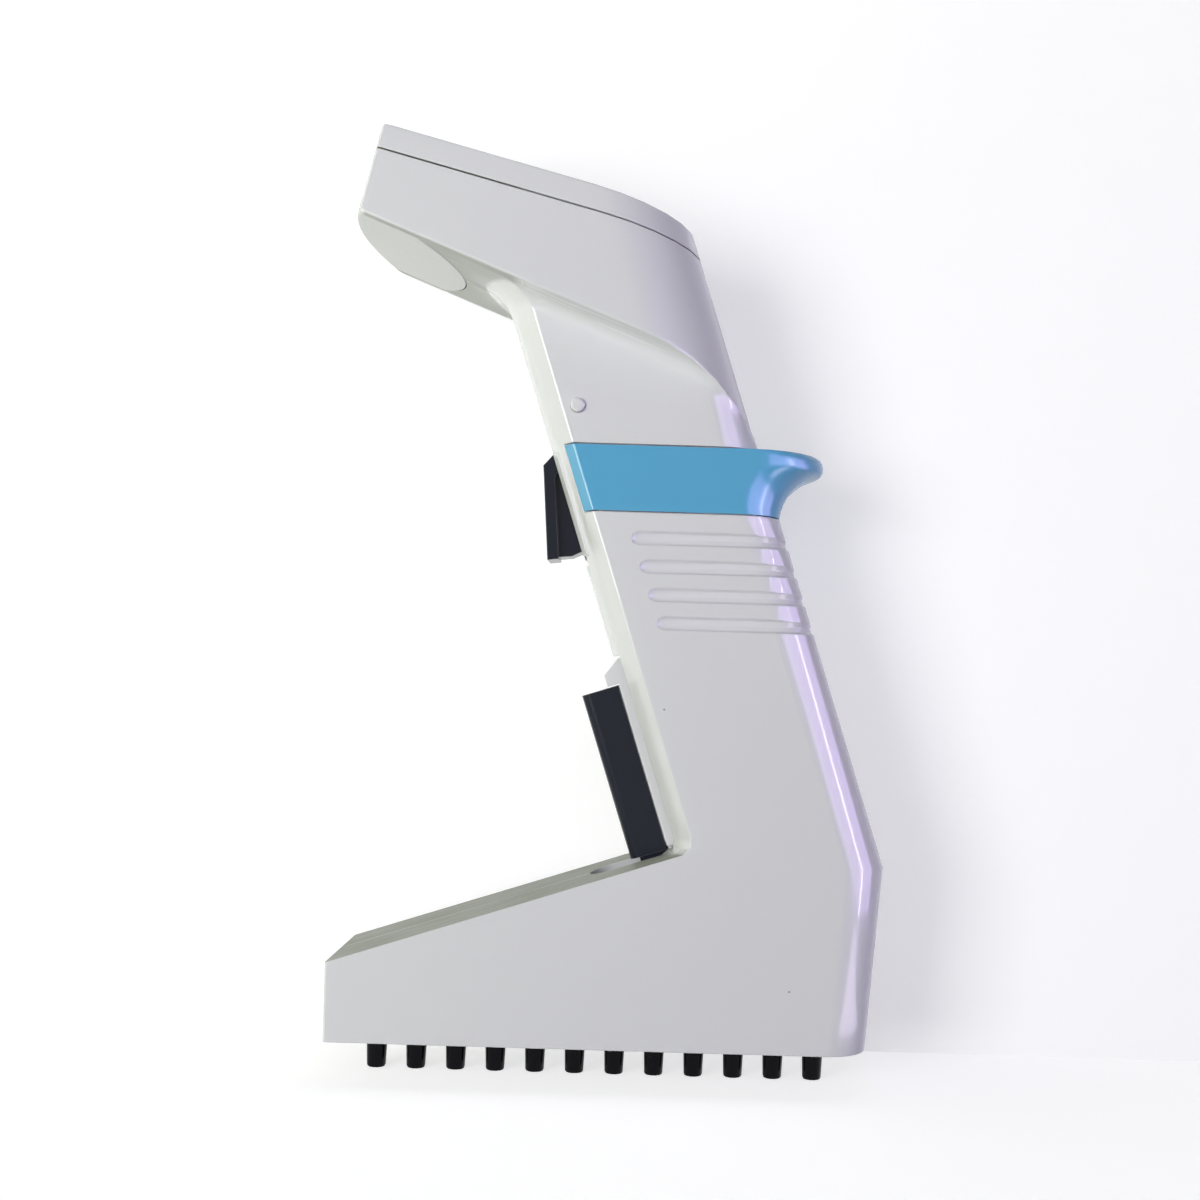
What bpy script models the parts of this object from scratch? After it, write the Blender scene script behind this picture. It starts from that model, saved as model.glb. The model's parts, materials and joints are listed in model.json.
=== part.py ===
# Electronic twelve-channel pipette, built as separate pieces, in metres.
# +Z is up with the nozzles pointing down, -X is the toe of the nozzle housing and +X the finger
# hook, Y is the width, and the origin lies under the middle of the pipette at the nozzle ends.
#
# The stem leans towards the toe. Outlines are drawn in "ground x": the x at which a line that
# leans with the stem meets the plane z = 0. A straight leaning wall keeps one ground x.

import math

import bmesh
import bpy
from mathutils import Matrix, Vector

# Fits and walls
GAP = 0.0003
WALL = 0.0022
LINE_GAP = 0.0004
SLIVER = 0.000004

# Cutters run this far past the faces they cut
PAST = 0.001
FAR = 0.030

# Nozzles
NOZZLE_COUNT = 12
NOZZLE_PITCH = 0.009
NOZZLE_TOE_MARGIN = 0.00895
NOZZLE_BACK_MARGIN = 0.01355
NOZZLE_TIP_RADIUS = 0.00215
NOZZLE_RADIUS = 0.00250
NOZZLE_BORE_RADIUS = 0.0011
NOZZLE_FLANGE_RADIUS = 0.0031
NOZZLE_BARB_RADIUS = 0.0010
NOZZLE_BARB_TOP = 0.0205
NOZZLE_FLANGE_DEPTH = 0.0014
NOZZLE_BORE_DEPTH = 0.0050
NOZZLE_TIP_CHAMFER = 0.0004

# Nozzle housing
BASE_Z = 0.0092
TOE_TOP_Z = 0.0265
SHOULDER_Z = 0.0497
BASE_BACK_SET_IN = 0.0029

# Stem
LEAN = math.radians(18.3)
STEM_DEPTH = 0.0415
STEM_WIDTH = 0.035
NOSE_DEPTH = 0.0051
STEM_FRONT_RADIUS = 0.0008
STEM_BACK_RADIUS = 0.0095
ARMPIT_RADIUS = 0.0030

# Head
HEAD_WIDTH = 0.050
HEAD_BACK_RADIUS = 0.020
HEAD_NOSE_DEPTH = 0.0033
HEAD_OVERHANG = 0.0305
HEAD_TOP_Z = 0.2059
HEAD_FACE_HEIGHT = 0.0188
HEAD_FACE_LEAN = 0.0046
TOP_TILT = math.radians(14.45)
LEDGE_TILT = math.radians(21.4)
LEDGE_EDGE_RADIUS = 0.0008
LEDGE_FILLET = 0.0040
LEDGE_DROP = 0.0140
LEDGE_BEND_LENGTH = 0.0154
LID_DEPTH = 0.0064
LID_EDGE = 0.0008
LIP_DEPTH = 0.0024
LIP_WALL = 0.0015

# Finger hook band
BAND_LOW_Z = 0.1260
BAND_HIGH_Z = 0.1402
BAND_THICKNESS = 0.0012
BAND_WRAP_Y = 0.0136
HOOK_REACH = 0.0101
HOOK_TIP_RADIUS = 0.0022
HOOK_SWEEP_RADIUS = 0.0118
HOOK_SWEEP_DROP = 0.0012
HOOK_PLAN_RADIUS = 0.0160

# Grip grooves
GROOVE_COUNT = 4
GROOVE_TOP_Z = 0.1202
GROOVE_PITCH = 0.0061
GROOVE_RADIUS = 0.0018
GROOVE_DEPTH = 0.0010
GROOVE_BACK_DEPTH = 0.0004
GROOVE_START = 0.0068
GROOVE_START_STEP = 0.0020

# Trigger
TRIGGER_PIVOT_BACK = 0.0039
TRIGGER_PIVOT_Z = 0.1485
TRIGGER_PIN_FIT = 0.00005
TRIGGER_HALF_WIDTH = 0.0060
TRIGGER_WEB_HALF_WIDTH = 0.0042
TRIGGER_LOW_Z = 0.1157
TRIGGER_HIGH_Z = 0.1392
TRIGGER_PIN_RADIUS = 0.0016
TRIGGER_PIN_PROUD = 0.0010
TRIGGER_PIN_CHAMFER = 0.0004
TRIGGER_HUB_RADIUS = 0.0033
TRIGGER_ROOM_X = 0.0040
TRIGGER_ROOM_BELOW = 0.0010
TRIGGER_ROOM_ABOVE = 0.0006
TRIGGER_COIL_RADIUS = 0.0024
TRIGGER_COIL_START_Y = 0.0053
TRIGGER_COIL_PITCH = 0.0009
TRIGGER_COIL_TURNS = 3
SPRING_WIRE_RADIUS = 0.0003
SWITCH_FRONT_U = 0.0034
SWITCH_BACK_U = 0.0074
SWITCH_HALF_WIDTH = 0.0032
SWITCH_HEIGHT = 0.0075
PLUNGER_FRONT_U = 0.0022
PLUNGER_HALF_WIDTH = 0.0010
PLUNGER_LOW = 0.0045
PLUNGER_HIGH = 0.0065
RIM_HALF_WIDTH = 0.0098
RIM_PROUD = 0.0006
RIM_LOW_Z = 0.1167

# Tip ejector, in the stem's own frame (u rearwards, w up the stem)
GRIP_LENGTH = 0.0383
GRIP_LOW_W = 0.0009
GRIP_FRONT_U = -0.0140
GRIP_BACK_U = -0.0055
GRIP_HALF_WIDTH = 0.0055
LEVER_HALF_WIDTH = 0.0073
LEVER_BACK_U = -0.0012
LEVER_TOP_W = 0.0450
NECK_HALF_WIDTH = 0.0048
ARM_HALF_WIDTH = 0.0030
EJECT_PIVOT_U = -0.0040
EJECT_PIVOT_W = -0.0100
EJECT_PIN_RADIUS = 0.0015
GRIP_CORNER_RADIUS = 0.0021
GRIP_FOOT_HALF_WIDTH = 0.0051
GRIP_FOOT_HIGH_W = -0.0015
GRIP_FOOT_DEPTH = 0.0014
GRIP_FOOT_GAP = 0.0007
LEVER_FOOT_W = 0.0017
LEVER_HORN_U = -0.0038
LEVER_HORN_DROP = 0.0028
LEVER_HORN_REACH = 0.0023
NECK_TOP_W = 0.0060
NECK_BEND_W = -0.0040
NECK_RADIUS = 0.0032
ARM_ROOT = 0.0026
ARM_PAD_HALF_LENGTH = 0.0030
ARM_PAD_DEPTH = 0.0028
BEARING_RADIUS = 0.0034
BEARING_LENGTH = 0.0025
CHANNEL_HALF_WIDTH = 0.0092
CHANNEL_FLOOR_U = -0.0006
CHANNEL_TOP_GAP = 0.0007
SWING_ROOM_U = 0.0062
SLOT_FRONT_U = -0.0241
SLOT_BACK_U = 0.0031
SLOT_HALF_WIDTH = 0.0056
SLOT_LOW_W = -0.0061
SLOT_HIGH_W = 0.0053

# Eject plate and nozzle plate
EJECT_PLATE_HALF_WIDTH = 0.0097
EJECT_PLATE_DEPTH = 0.0024
EJECT_PLATE_FRONT_SET_IN = 0.00275
EJECT_PLATE_BACK_SET_IN = 0.00585
EJECT_POST_SET_IN = 0.00805
EJECT_POST_RADIUS = 0.0017
EJECT_POST_TOP_Z = 0.0330
EJECT_CAP_RADIUS = 0.0035
EJECT_CAP_HEIGHT = 0.0030
EJECT_COIL_RADIUS = 0.0024
EJECT_COIL_TURNS = 5
GUIDE_PIN_Y = 0.0076
GUIDE_PIN_RADIUS = 0.0012
GUIDE_PIN_PROUD = 0.0020
NOZZLE_PLATE_Z = 0.0132
NOZZLE_PLATE_DEPTH = 0.0040
NOZZLE_PLATE_BACK_GAP = 0.0008
SHELF_WIDTH = 0.0030
SHELF_BACK_SET_IN = 0.01275

# Drive train, in the stem's own frame
BLOCK_LOW_W = 0.0040
BLOCK_HIGH_W = 0.0440
BLOCK_FRONT_U = 0.0065
PLATE_CORNER_RADIUS = 0.0010
DRIVE_PLATE_SHRINK = 0.0006
MANIFOLD_DEPTH = 0.0027
SEAL_DEPTH = 0.0016
PISTON_RADIUS = 0.0020
PISTON_BOTTOM_W = 0.0080
PISTON_PITCH_U = 0.0080
PISTON_PITCH_V = 0.0068
PISTON_CENTRE_U = 0.0210
PISTON_GAP = 0.0004
DRIVE_PLATE_LOW_W = 0.0475
DRIVE_PLATE_DEPTH = 0.0040
PISTON_STROKE = 0.0220
BRACKET_ROOM = 0.0062
BRACKET_DEPTH = 0.0023
BRACKET_FRONT_U = 0.0046
MOTOR_RADIUS = 0.0132
MOTOR_LENGTH = 0.0220
SCREW_RADIUS = 0.0025
SCREW_LENGTH = 0.0535
SCREW_CLEARANCE = 0.0006
SCREW_CHAMFER = 0.0006
ROD_RADIUS = 0.0015
ROD_OFFSET_U = 0.0124
ROD_SEAT = 0.0080
ROD_PROUD = 0.0018
TUBE_RADIUS = 0.0013
LANE_INNER_Y = 0.0072
LANE_OUTER_Y = 0.0110

# Display, keys and battery, in the frames of the head's top and underside
WINDOW_START = 0.0090
WINDOW_LENGTH = 0.0220
WINDOW_SIDE_MARGIN = 0.0065
PANEL_MARGIN = 0.0010
PANEL_THICKNESS = 0.0022
KEY_ROWS = (0.0410, 0.0520)
KEY_COLUMNS = (-0.0120, 0.0, 0.0120)
KEY_LENGTH = 0.0070
KEY_WIDTH = 0.0090
KEY_PROUD = 0.0009
KEY_FLANGE = 0.0008
KEY_STEM = 0.0052
KEY_CORNER_RADIUS = 0.0016
BOARD_START = 0.0270
BOARD_END = 0.0620
BOARD_SIDE_MARGIN = 0.0055
BOARD_TOP = -0.0082
BOARD_THICKNESS = 0.0014
BOARD_FRONT_RADIUS = 0.0010
BOARD_BACK_RADIUS = 0.0140
BOARD_POST_RADIUS = 0.0018
FRONT_POST = 0.0350
FRONT_POST_SET_IN = 0.0007
BACK_POST = 0.0592
BACK_POST_Y = 0.0060
DOOR_LENGTH = 0.0212
DOOR_SIDE_MARGIN = 0.0030
DOOR_END_RADIUS = 0.0340
DOOR_RUN_OUT = 0.0120
FIRST_CELL_START = 0.0033
CELL_SPACING = 0.0005
CONTACT_START = 0.0068
CONTACT_END = 0.0250
CONTACT_HIGH = 0.0119
CELL_RADIUS = 0.00525
CELL_SIDE_MARGIN = 0.0050

# Housing screws: two in the stem's own frame, and one in the head
STEM_SCREWS = ((0.0299, -0.0180), (0.0014, 0.0552))
HEAD_SCREW_BACK = 0.0129
HEAD_SCREW_DROP = 0.0337
HOUSING_BOSS_RADIUS = 0.0028
HOUSING_SCREW_RADIUS = 0.0012
HOUSING_SCREW_HEAD_RADIUS = 0.0022
HOUSING_SCREW_SEAT = 0.0028
HOUSING_SCREW_HEAD_HEIGHT = 0.0016
HOUSING_SCREW_END = 0.0080

# Worked out from the sizes above
SLOPE = math.tan(LEAN)
NOZZLE_ROW = NOZZLE_PITCH * (NOZZLE_COUNT - 1)
BODY_LENGTH = NOZZLE_TOE_MARGIN + NOZZLE_ROW + NOZZLE_BACK_MARGIN
TOE_X = -BODY_LENGTH / 2
SHOULDER_X = BODY_LENGTH / 2
STEM_BACK = SHOULDER_X + SLOPE * SHOULDER_Z
STEM_FRONT = STEM_BACK - STEM_DEPTH
STEM_HALF = STEM_WIDTH / 2
FLARE = (HEAD_WIDTH - STEM_WIDTH) / 2
FLARE_ROUNDING = (HEAD_BACK_RADIUS - STEM_BACK_RADIUS) / FLARE


def tilted_slope(tilt):
    """Rise of a plane that falls rearwards at this tilt, for each metre of ground x."""
    fall = math.tan(tilt)
    return -fall / (1 - fall * SLOPE)


TOP_SLOPE = tilted_slope(TOP_TILT)
LEDGE_SLOPE = tilted_slope(LEDGE_TILT)
HEAD_FRONT = STEM_FRONT - HEAD_OVERHANG
HEAD_FRONT_Z = HEAD_TOP_Z - HEAD_FACE_HEIGHT
HEAD_FRONT_X = HEAD_FRONT - SLOPE * HEAD_FRONT_Z
HEAD_TOP_X = HEAD_FRONT_X + HEAD_FACE_LEAN
HEAD_TOP_FRONT = HEAD_TOP_X + SLOPE * HEAD_TOP_Z
LEDGE_BEND = STEM_BACK - LEDGE_BEND_LENGTH
TRIGGER_PIVOT_X = STEM_FRONT - SLOPE * TRIGGER_PIVOT_Z + TRIGGER_PIVOT_BACK
EJECT_PLATE_FRONT_X = TOE_X + EJECT_PLATE_FRONT_SET_IN
EJECT_PLATE_BACK_X = SHOULDER_X - EJECT_PLATE_BACK_SET_IN
EJECT_POST_X = SHOULDER_X - EJECT_POST_SET_IN
WINDOW_HALF_WIDTH = HEAD_WIDTH / 2 - WINDOW_SIDE_MARGIN
BOARD_HALF_WIDTH = HEAD_WIDTH / 2 - BOARD_SIDE_MARGIN
DOOR_HALF_WIDTH = HEAD_WIDTH / 2 - DOOR_SIDE_MARGIN
CELL_HALF_LENGTH = HEAD_WIDTH / 2 - CELL_SIDE_MARGIN
DRIVE_PLATE_HIGH_W = DRIVE_PLATE_LOW_W + DRIVE_PLATE_DEPTH
BRACKET_W = DRIVE_PLATE_HIGH_W + PISTON_STROKE + BRACKET_ROOM


# Heights of the main surfaces at a ground x

def ramp_level(ground_x):
    return (TOE_TOP_Z + SLOPE * (ground_x - TOE_X)) * math.cos(LEAN) ** 2


def top_level(ground_x):
    return HEAD_TOP_Z + TOP_SLOPE * (ground_x - HEAD_TOP_FRONT)


def ledge_level(ground_x):
    height = HEAD_FRONT_Z + LEDGE_SLOPE * (ground_x - HEAD_FRONT)
    bend = max(0.0, (ground_x - LEDGE_BEND) / (STEM_BACK - LEDGE_BEND))
    return height - LEDGE_DROP * (1 - math.sqrt(max(0.0, 1 - bend * bend)))


def shoulder_level(ground_x):
    toe = TOE_X + SLOPE * TOE_TOP_Z
    bend = STEM_BACK - STEM_BACK_RADIUS
    share = min(1.0, max(0.0, (ground_x - toe) / (bend - toe)))
    return TOE_TOP_Z + (SHOULDER_Z - TOE_TOP_Z) * share


def head_front(level):
    """Ground x where the head's sloping front end meets a level."""
    lean = (HEAD_TOP_FRONT - HEAD_FRONT) / (HEAD_TOP_Z - HEAD_FRONT_Z)
    ground_x = HEAD_FRONT
    for _ in range(12):
        ground_x = HEAD_FRONT + lean * (level(ground_x) - HEAD_FRONT_Z)
    return ground_x


# Outlines and bodies

def outline(front, back, half_width, front_radius, back_radius, nose=0.0):
    """Half outline from the middle of the front round to the middle of the back."""
    flat = half_width - front_radius
    points = []
    for step in range(6):
        y = flat * step / 5
        points.append((front - nose * (1 - (y / flat) ** 2), y))
    for angle in (45, 90):
        turn = math.radians(angle)
        points.append((front + front_radius * (1 - math.cos(turn)),
                       flat + front_radius * math.sin(turn)))
    for step in range(7):
        turn = math.radians(90 - 15 * step)
        points.append((back - back_radius + back_radius * math.cos(turn),
                       half_width - back_radius + back_radius * math.sin(turn)))
    points.append((back, 0.0))
    return points


def both_sides(half):
    """Whole closed outline from a half that starts and ends on the middle line."""
    return half + [(x, -y) for x, y in reversed(half[1:-1])]


def stem_ring(level, flare=0.0, inset=0.0, front=None, nose=NOSE_DEPTH):
    """Ring round the stem or head: the flare widens it from the stem to the head."""
    start = (STEM_FRONT - flare if front is None else front) + inset
    half = outline(start, STEM_BACK - inset, STEM_HALF + flare - inset, STEM_FRONT_RADIUS,
                   STEM_BACK_RADIUS + FLARE_ROUNDING * flare - inset, nose)
    return [leaning(x, y, level(x)) for x, y in both_sides(half)]


def head_ring(level, flare=FLARE, inset=0.0):
    front = head_front(level) + (FLARE - flare)
    return stem_ring(level, flare, inset, front, HEAD_NOSE_DEPTH)


def leaning(ground_x, y, z):
    return Vector((ground_x - SLOPE * z, y, z))


def raised(level, height):
    return lambda ground_x: level(ground_x) + height


def flat_level(height):
    return lambda ground_x: height


def foot_ring(level, front_z, inset=0.0, back_x=None, back_z=None):
    """Ring round the nozzle housing, whose toe is upright."""
    front = TOE_X + SLOPE * front_z + inset
    back = STEM_BACK if back_x is None else back_x + SLOPE * back_z
    half = outline(front, back - inset, STEM_HALF - inset, STEM_FRONT_RADIUS,
                   STEM_BACK_RADIUS - inset)
    return [leaning(x, y, level(x)) for x, y in both_sides(half)]


def skin(rings):
    """Closed body through a stack of rings with equal numbers of points."""
    bm = bmesh.new()
    loops = [[bm.verts.new(point) for point in ring] for ring in rings]
    for upper, lower in zip(loops, loops[1:]):
        for i in range(len(upper)):
            j = (i + 1) % len(upper)
            bm.faces.new((upper[i], upper[j], lower[j], lower[i]))
    bm.faces.new(loops[0])
    bm.faces.new(loops[-1])
    bmesh.ops.triangulate(bm, faces=bm.faces)
    return bm


AXES = {
    "xy": lambda a, b, c: Vector((a, b, c)),
    "xz": lambda a, b, c: Vector((a, c, b)),
}


def prism(points, low, high, plane="xy"):
    """Outline in a plane, extruded along the third axis from low to high."""
    place = AXES[plane]
    bm = bmesh.new()
    base = bm.faces.new([bm.verts.new(place(a, b, low)) for a, b in points])
    grown = bmesh.ops.extrude_face_region(bm, geom=[base])
    top = [item for item in grown["geom"] if isinstance(item, bmesh.types.BMVert)]
    bmesh.ops.translate(bm, verts=top, vec=place(0, 0, high) - place(0, 0, low))
    return bm


def circle(radius, sides=16, centre=(0.0, 0.0)):
    turns = [2 * math.pi * (i + 0.5) / sides for i in range(sides)]
    return [(centre[0] + radius * math.cos(t), centre[1] + radius * math.sin(t)) for t in turns]


def rectangle(low_a, high_a, low_b, high_b):
    return [(low_a, low_b), (high_a, low_b), (high_a, high_b), (low_a, high_b)]


def arc(centre, radius, start, end, steps):
    """Points on an arc in degrees, from start to end."""
    turns = [math.radians(start + (end - start) * i / steps) for i in range(steps + 1)]
    return [(centre[0] + radius * math.cos(t), centre[1] + radius * math.sin(t)) for t in turns]


def lathe(profile, sides=16, ring=False):
    """Body turned round Z from (radius, z) points; a ring profile closes on itself."""
    bm = bmesh.new()
    loops = []
    for radius, z in profile:
        loops.append([bm.verts.new((x, y, z)) for x, y in circle(radius, sides)])
    pairs = list(zip(loops, loops[1:]))
    if ring:
        pairs.append((loops[-1], loops[0]))
    for upper, lower in pairs:
        for i in range(sides):
            j = (i + 1) % sides
            bm.faces.new((upper[i], upper[j], lower[j], lower[i]))
    if not ring:
        bm.faces.new(loops[0])
        bm.faces.new(loops[-1])
    return bm


def sweep(path, radius, sides=8, round_ends=False):
    """Round bar along a path, with flat or round ends."""
    bm = bmesh.new()
    radii = [radius] * len(path)
    if round_ends:
        first = (path[0] - path[1]).normalized()
        last = (path[-1] - path[-2]).normalized()
        turns = [math.radians(angle) for angle in (40, 70, 86)]
        caps = [radius * math.cos(turn) for turn in turns]
        before = [path[0] + first * radius * math.sin(turn) for turn in turns]
        after = [path[-1] + last * radius * math.sin(turn) for turn in turns]
        path = before[::-1] + path + after
        radii = caps[::-1] + radii + caps
    loops = []
    side = None
    for i, point in enumerate(path):
        ahead = path[min(i + 1, len(path) - 1)] - path[max(i - 1, 0)]
        ahead.normalize()
        if side is None:
            side = ahead.orthogonal()
        side = (side - ahead * side.dot(ahead)).normalized()
        other = ahead.cross(side)
        loops.append([bm.verts.new(point + side * a + other * b)
                      for a, b in circle(radii[i], sides)])
    for upper, lower in zip(loops, loops[1:]):
        for i in range(sides):
            j = (i + 1) % sides
            bm.faces.new((upper[i], upper[j], lower[j], lower[i]))
    bm.faces.new(loops[0])
    bm.faces.new(loops[-1])
    return bm


def coil(radius, low, high, turns):
    """Spring wire wound round Z from low to high."""
    steps = 10 * turns
    path = []
    for step in range(steps + 1):
        turn = 2 * math.pi * step / 10
        path.append(Vector((radius * math.cos(turn), radius * math.sin(turn),
                            low + (high - low) * step / steps)))
    return sweep(path, SPRING_WIRE_RADIUS, 6)


def smooth_path(points, steps):
    """Catmull-Rom curve through the points, with this many steps for each span."""
    points = [Vector(p) for p in points]
    padded = [points[0] * 2 - points[1]] + points + [points[-1] * 2 - points[-2]]
    path = []
    for a, b, c, d in zip(padded, padded[1:], padded[2:], padded[3:]):
        for i in range(steps):
            t = i / steps
            path.append(0.5 * (2 * b + (c - a) * t + (2 * a - 5 * b + 4 * c - d) * t * t
                               + (3 * b - a - 3 * c + d) * t ** 3))
    path.append(points[-1])
    return path


def merge(*parts):
    """One mesh that holds several separate bodies."""
    bm = bmesh.new()
    for part in parts:
        mesh = bpy.data.meshes.new("part")
        part.to_mesh(mesh)
        part.free()
        bm.from_mesh(mesh)
        bpy.data.meshes.remove(mesh)
    return bm


# Objects, materials and joints between shapes

MATERIALS = {
    "shell": ((0.78, 0.78, 0.80), 0.32, 0.0),
    "window": ((0.10, 0.12, 0.11), 0.08, 0.0),
    "lcd": ((0.42, 0.47, 0.38), 0.25, 0.0),
    "key": ((0.30, 0.32, 0.36), 0.40, 0.0),
    "hook": ((0.08, 0.40, 0.66), 0.28, 0.0),
    "black": ((0.012, 0.014, 0.025), 0.22, 0.0),
    "board": ((0.03, 0.22, 0.10), 0.45, 0.0),
    "steel": ((0.62, 0.62, 0.64), 0.25, 1.0),
    "engineering": ((0.62, 0.62, 0.58), 0.45, 0.0),
    "rubber": ((0.05, 0.05, 0.05), 0.75, 0.0),
    "tubing": ((0.75, 0.78, 0.78), 0.35, 0.0),
    "cell": ((0.12, 0.28, 0.20), 0.35, 0.0),
}


def material(name):
    found = bpy.data.materials.get(name)
    if found:
        return found
    colour, roughness, metallic = MATERIALS[name]
    made = bpy.data.materials.new(name)
    made.use_nodes = True
    shader = made.node_tree.nodes["Principled BSDF"]
    shader.inputs["Base Color"].default_value = (*colour, 1.0)
    shader.inputs["Roughness"].default_value = roughness
    shader.inputs["Metallic"].default_value = metallic
    return made


def add(name, bm, slot, frame=None, smooth=40):
    """Object from a mesh drawn in its own frame."""
    bmesh.ops.recalc_face_normals(bm, faces=bm.faces)
    mesh = bpy.data.meshes.new(name)
    bm.to_mesh(mesh)
    bm.free()
    mesh.shade_smooth()
    mesh.set_sharp_from_angle(angle=math.radians(smooth))
    obj = bpy.data.objects.new(name, mesh)
    if slot:
        mesh.materials.append(material(slot))
    if frame is not None:
        obj.matrix_world = frame
    bpy.context.collection.objects.link(obj)
    return obj


def cutter(name, bm, frame=None):
    """Helper shape that only carves or joins."""
    obj = add(name, bm, None, frame)
    obj.hide_render = True
    obj.display_type = "WIRE"
    return obj


def shape(target, tool, operation="DIFFERENCE"):
    modifier = target.modifiers.new(f"{operation.lower()} {tool.name}", "BOOLEAN")
    modifier.operation = operation
    modifier.solver = "EXACT"
    modifier.object = tool
    return target


def close_slivers(target):
    """Join points that the cuts leave within a few micrometres of each other."""
    modifier = target.modifiers.new("close slivers", "WELD")
    modifier.merge_threshold = SLIVER


def frame_at(origin, x_axis, z_axis):
    """Frame with its own x and z axes; y completes it."""
    y_axis = Vector(z_axis).cross(Vector(x_axis))
    matrix = Matrix((x_axis, y_axis, z_axis)).transposed().to_4x4()
    matrix.translation = origin
    return matrix


STEM_ORIGIN = leaning(STEM_FRONT, 0, ramp_level(STEM_FRONT))
STEM_U = Vector((math.cos(LEAN), 0, math.sin(LEAN)))
STEM_W = Vector((-math.sin(LEAN), 0, math.cos(LEAN)))
STEM_FRAME = frame_at(STEM_ORIGIN, STEM_U, STEM_W)
LID_FRAME = frame_at(Vector((HEAD_TOP_X, 0, HEAD_TOP_Z)),
                     Vector((math.cos(TOP_TILT), 0, -math.sin(TOP_TILT))),
                     Vector((math.sin(TOP_TILT), 0, math.cos(TOP_TILT))))
UNDER_FRAME = frame_at(Vector((HEAD_FRONT_X, 0, HEAD_FRONT_Z)),
                       Vector((math.cos(LEDGE_TILT), 0, -math.sin(LEDGE_TILT))),
                       Vector((math.sin(LEDGE_TILT), 0, math.cos(LEDGE_TILT))))
STEM_BACK_U = STEM_DEPTH * math.cos(LEAN)
INNER_BACK_U = STEM_BACK_U - WALL
INNER_HALF = STEM_HALF - WALL


def stem_point(u, y, w):
    return STEM_FRAME @ Vector((u, y, w))


def in_stem(u, w):
    """x and z of a point given in the stem's frame."""
    point = stem_point(u, 0, w)
    return point.x, point.z


def nozzle_x(index):
    return TOE_X + NOZZLE_TOE_MARGIN + NOZZLE_PITCH * index


# Housing

def outer_rings():
    """Outside of the two housing halves, from the lid's seam down to the base."""
    seam = raised(top_level, -LID_DEPTH)
    edge = LEDGE_EDGE_RADIUS
    rings = [head_ring(seam), head_ring(raised(ledge_level, edge))]
    for angle in (45, 90):
        turn = math.radians(angle)
        rings.append(head_ring(raised(ledge_level, edge * (1 - math.sin(turn))),
                               FLARE - edge * (1 - math.cos(turn))))
    for angle in (0, 30, 60, 90):
        turn = math.radians(angle)
        drop = GAP + LEDGE_FILLET * (1 - math.cos(turn))
        rings.append(stem_ring(raised(ledge_level, -drop), LEDGE_FILLET * (1 - math.sin(turn))))
    for angle in (0, 45, 90):
        turn = math.radians(angle)
        forward = ARMPIT_RADIUS * (1 - math.cos(turn))
        rings.append(stem_ring(raised(ramp_level, ARMPIT_RADIUS * (1 - math.sin(turn))),
                               front=STEM_FRONT - forward))
    rings.append(foot_ring(shoulder_level, TOE_TOP_Z))
    base = flat_level(BASE_Z)
    rings.append(foot_ring(base, BASE_Z, 0.0, SHOULDER_X - BASE_BACK_SET_IN, BASE_Z))
    return rings


def inner_rings():
    """Hollow of the housing, open at the lid."""
    above = raised(top_level, PAST)
    rings = [head_ring(above, inset=WALL), head_ring(raised(ledge_level, WALL), inset=WALL)]
    rings.append(stem_ring(raised(ledge_level, WALL - GAP), inset=WALL))
    rings.append(stem_ring(raised(ramp_level, -WALL), inset=WALL))
    rings.append(foot_ring(raised(shoulder_level, -WALL), TOE_TOP_Z, WALL))
    rings.append(foot_ring(flat_level(BASE_Z + WALL), BASE_Z, WALL,
                           SHOULDER_X - BASE_BACK_SET_IN, BASE_Z))
    return rings


def hollow_band(body, low, high, thickness, wrap_y):
    """Leave only a U-shaped wall of a body that follows the stem."""
    hollow = skin([stem_ring(flat_level(high + PAST), inset=thickness),
                   stem_ring(flat_level(low - PAST), inset=thickness)])
    shape(body, cutter(f"{body.name} inside", hollow))
    front = STEM_FRONT + 2 * BAND_THICKNESS
    window = rectangle(front - FAR, front, -wrap_y, wrap_y)
    gate = skin([[leaning(x, y, z) for x, y in window] for z in (high + PAST, low - PAST)])
    shape(body, cutter(f"{body.name} gate", gate))


def groove(index):
    """Round-ended groove that runs from one side round the back to the other."""
    z = GROOVE_TOP_Z - GROOVE_PITCH * index
    start = (STEM_FRONT - SLOPE * GROOVE_TOP_Z + GROOVE_START + GROOVE_START_STEP * index
             + GROOVE_RADIUS)
    lift = GROOVE_RADIUS - GROOVE_DEPTH
    back = STEM_BACK - SLOPE * z + GROOVE_RADIUS - GROOVE_BACK_DEPTH
    round_back = outline(start, back, STEM_HALF + lift, 0.0, STEM_BACK_RADIUS + lift)[8:]
    half = [(start, STEM_HALF + lift)] + round_back
    whole = half + [(x, -y) for x, y in reversed(half[:-1])]
    path = [Vector((x, y, z)) for x, y in whole]
    return sweep(path, GROOVE_RADIUS, 10, round_ends=True)


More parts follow.
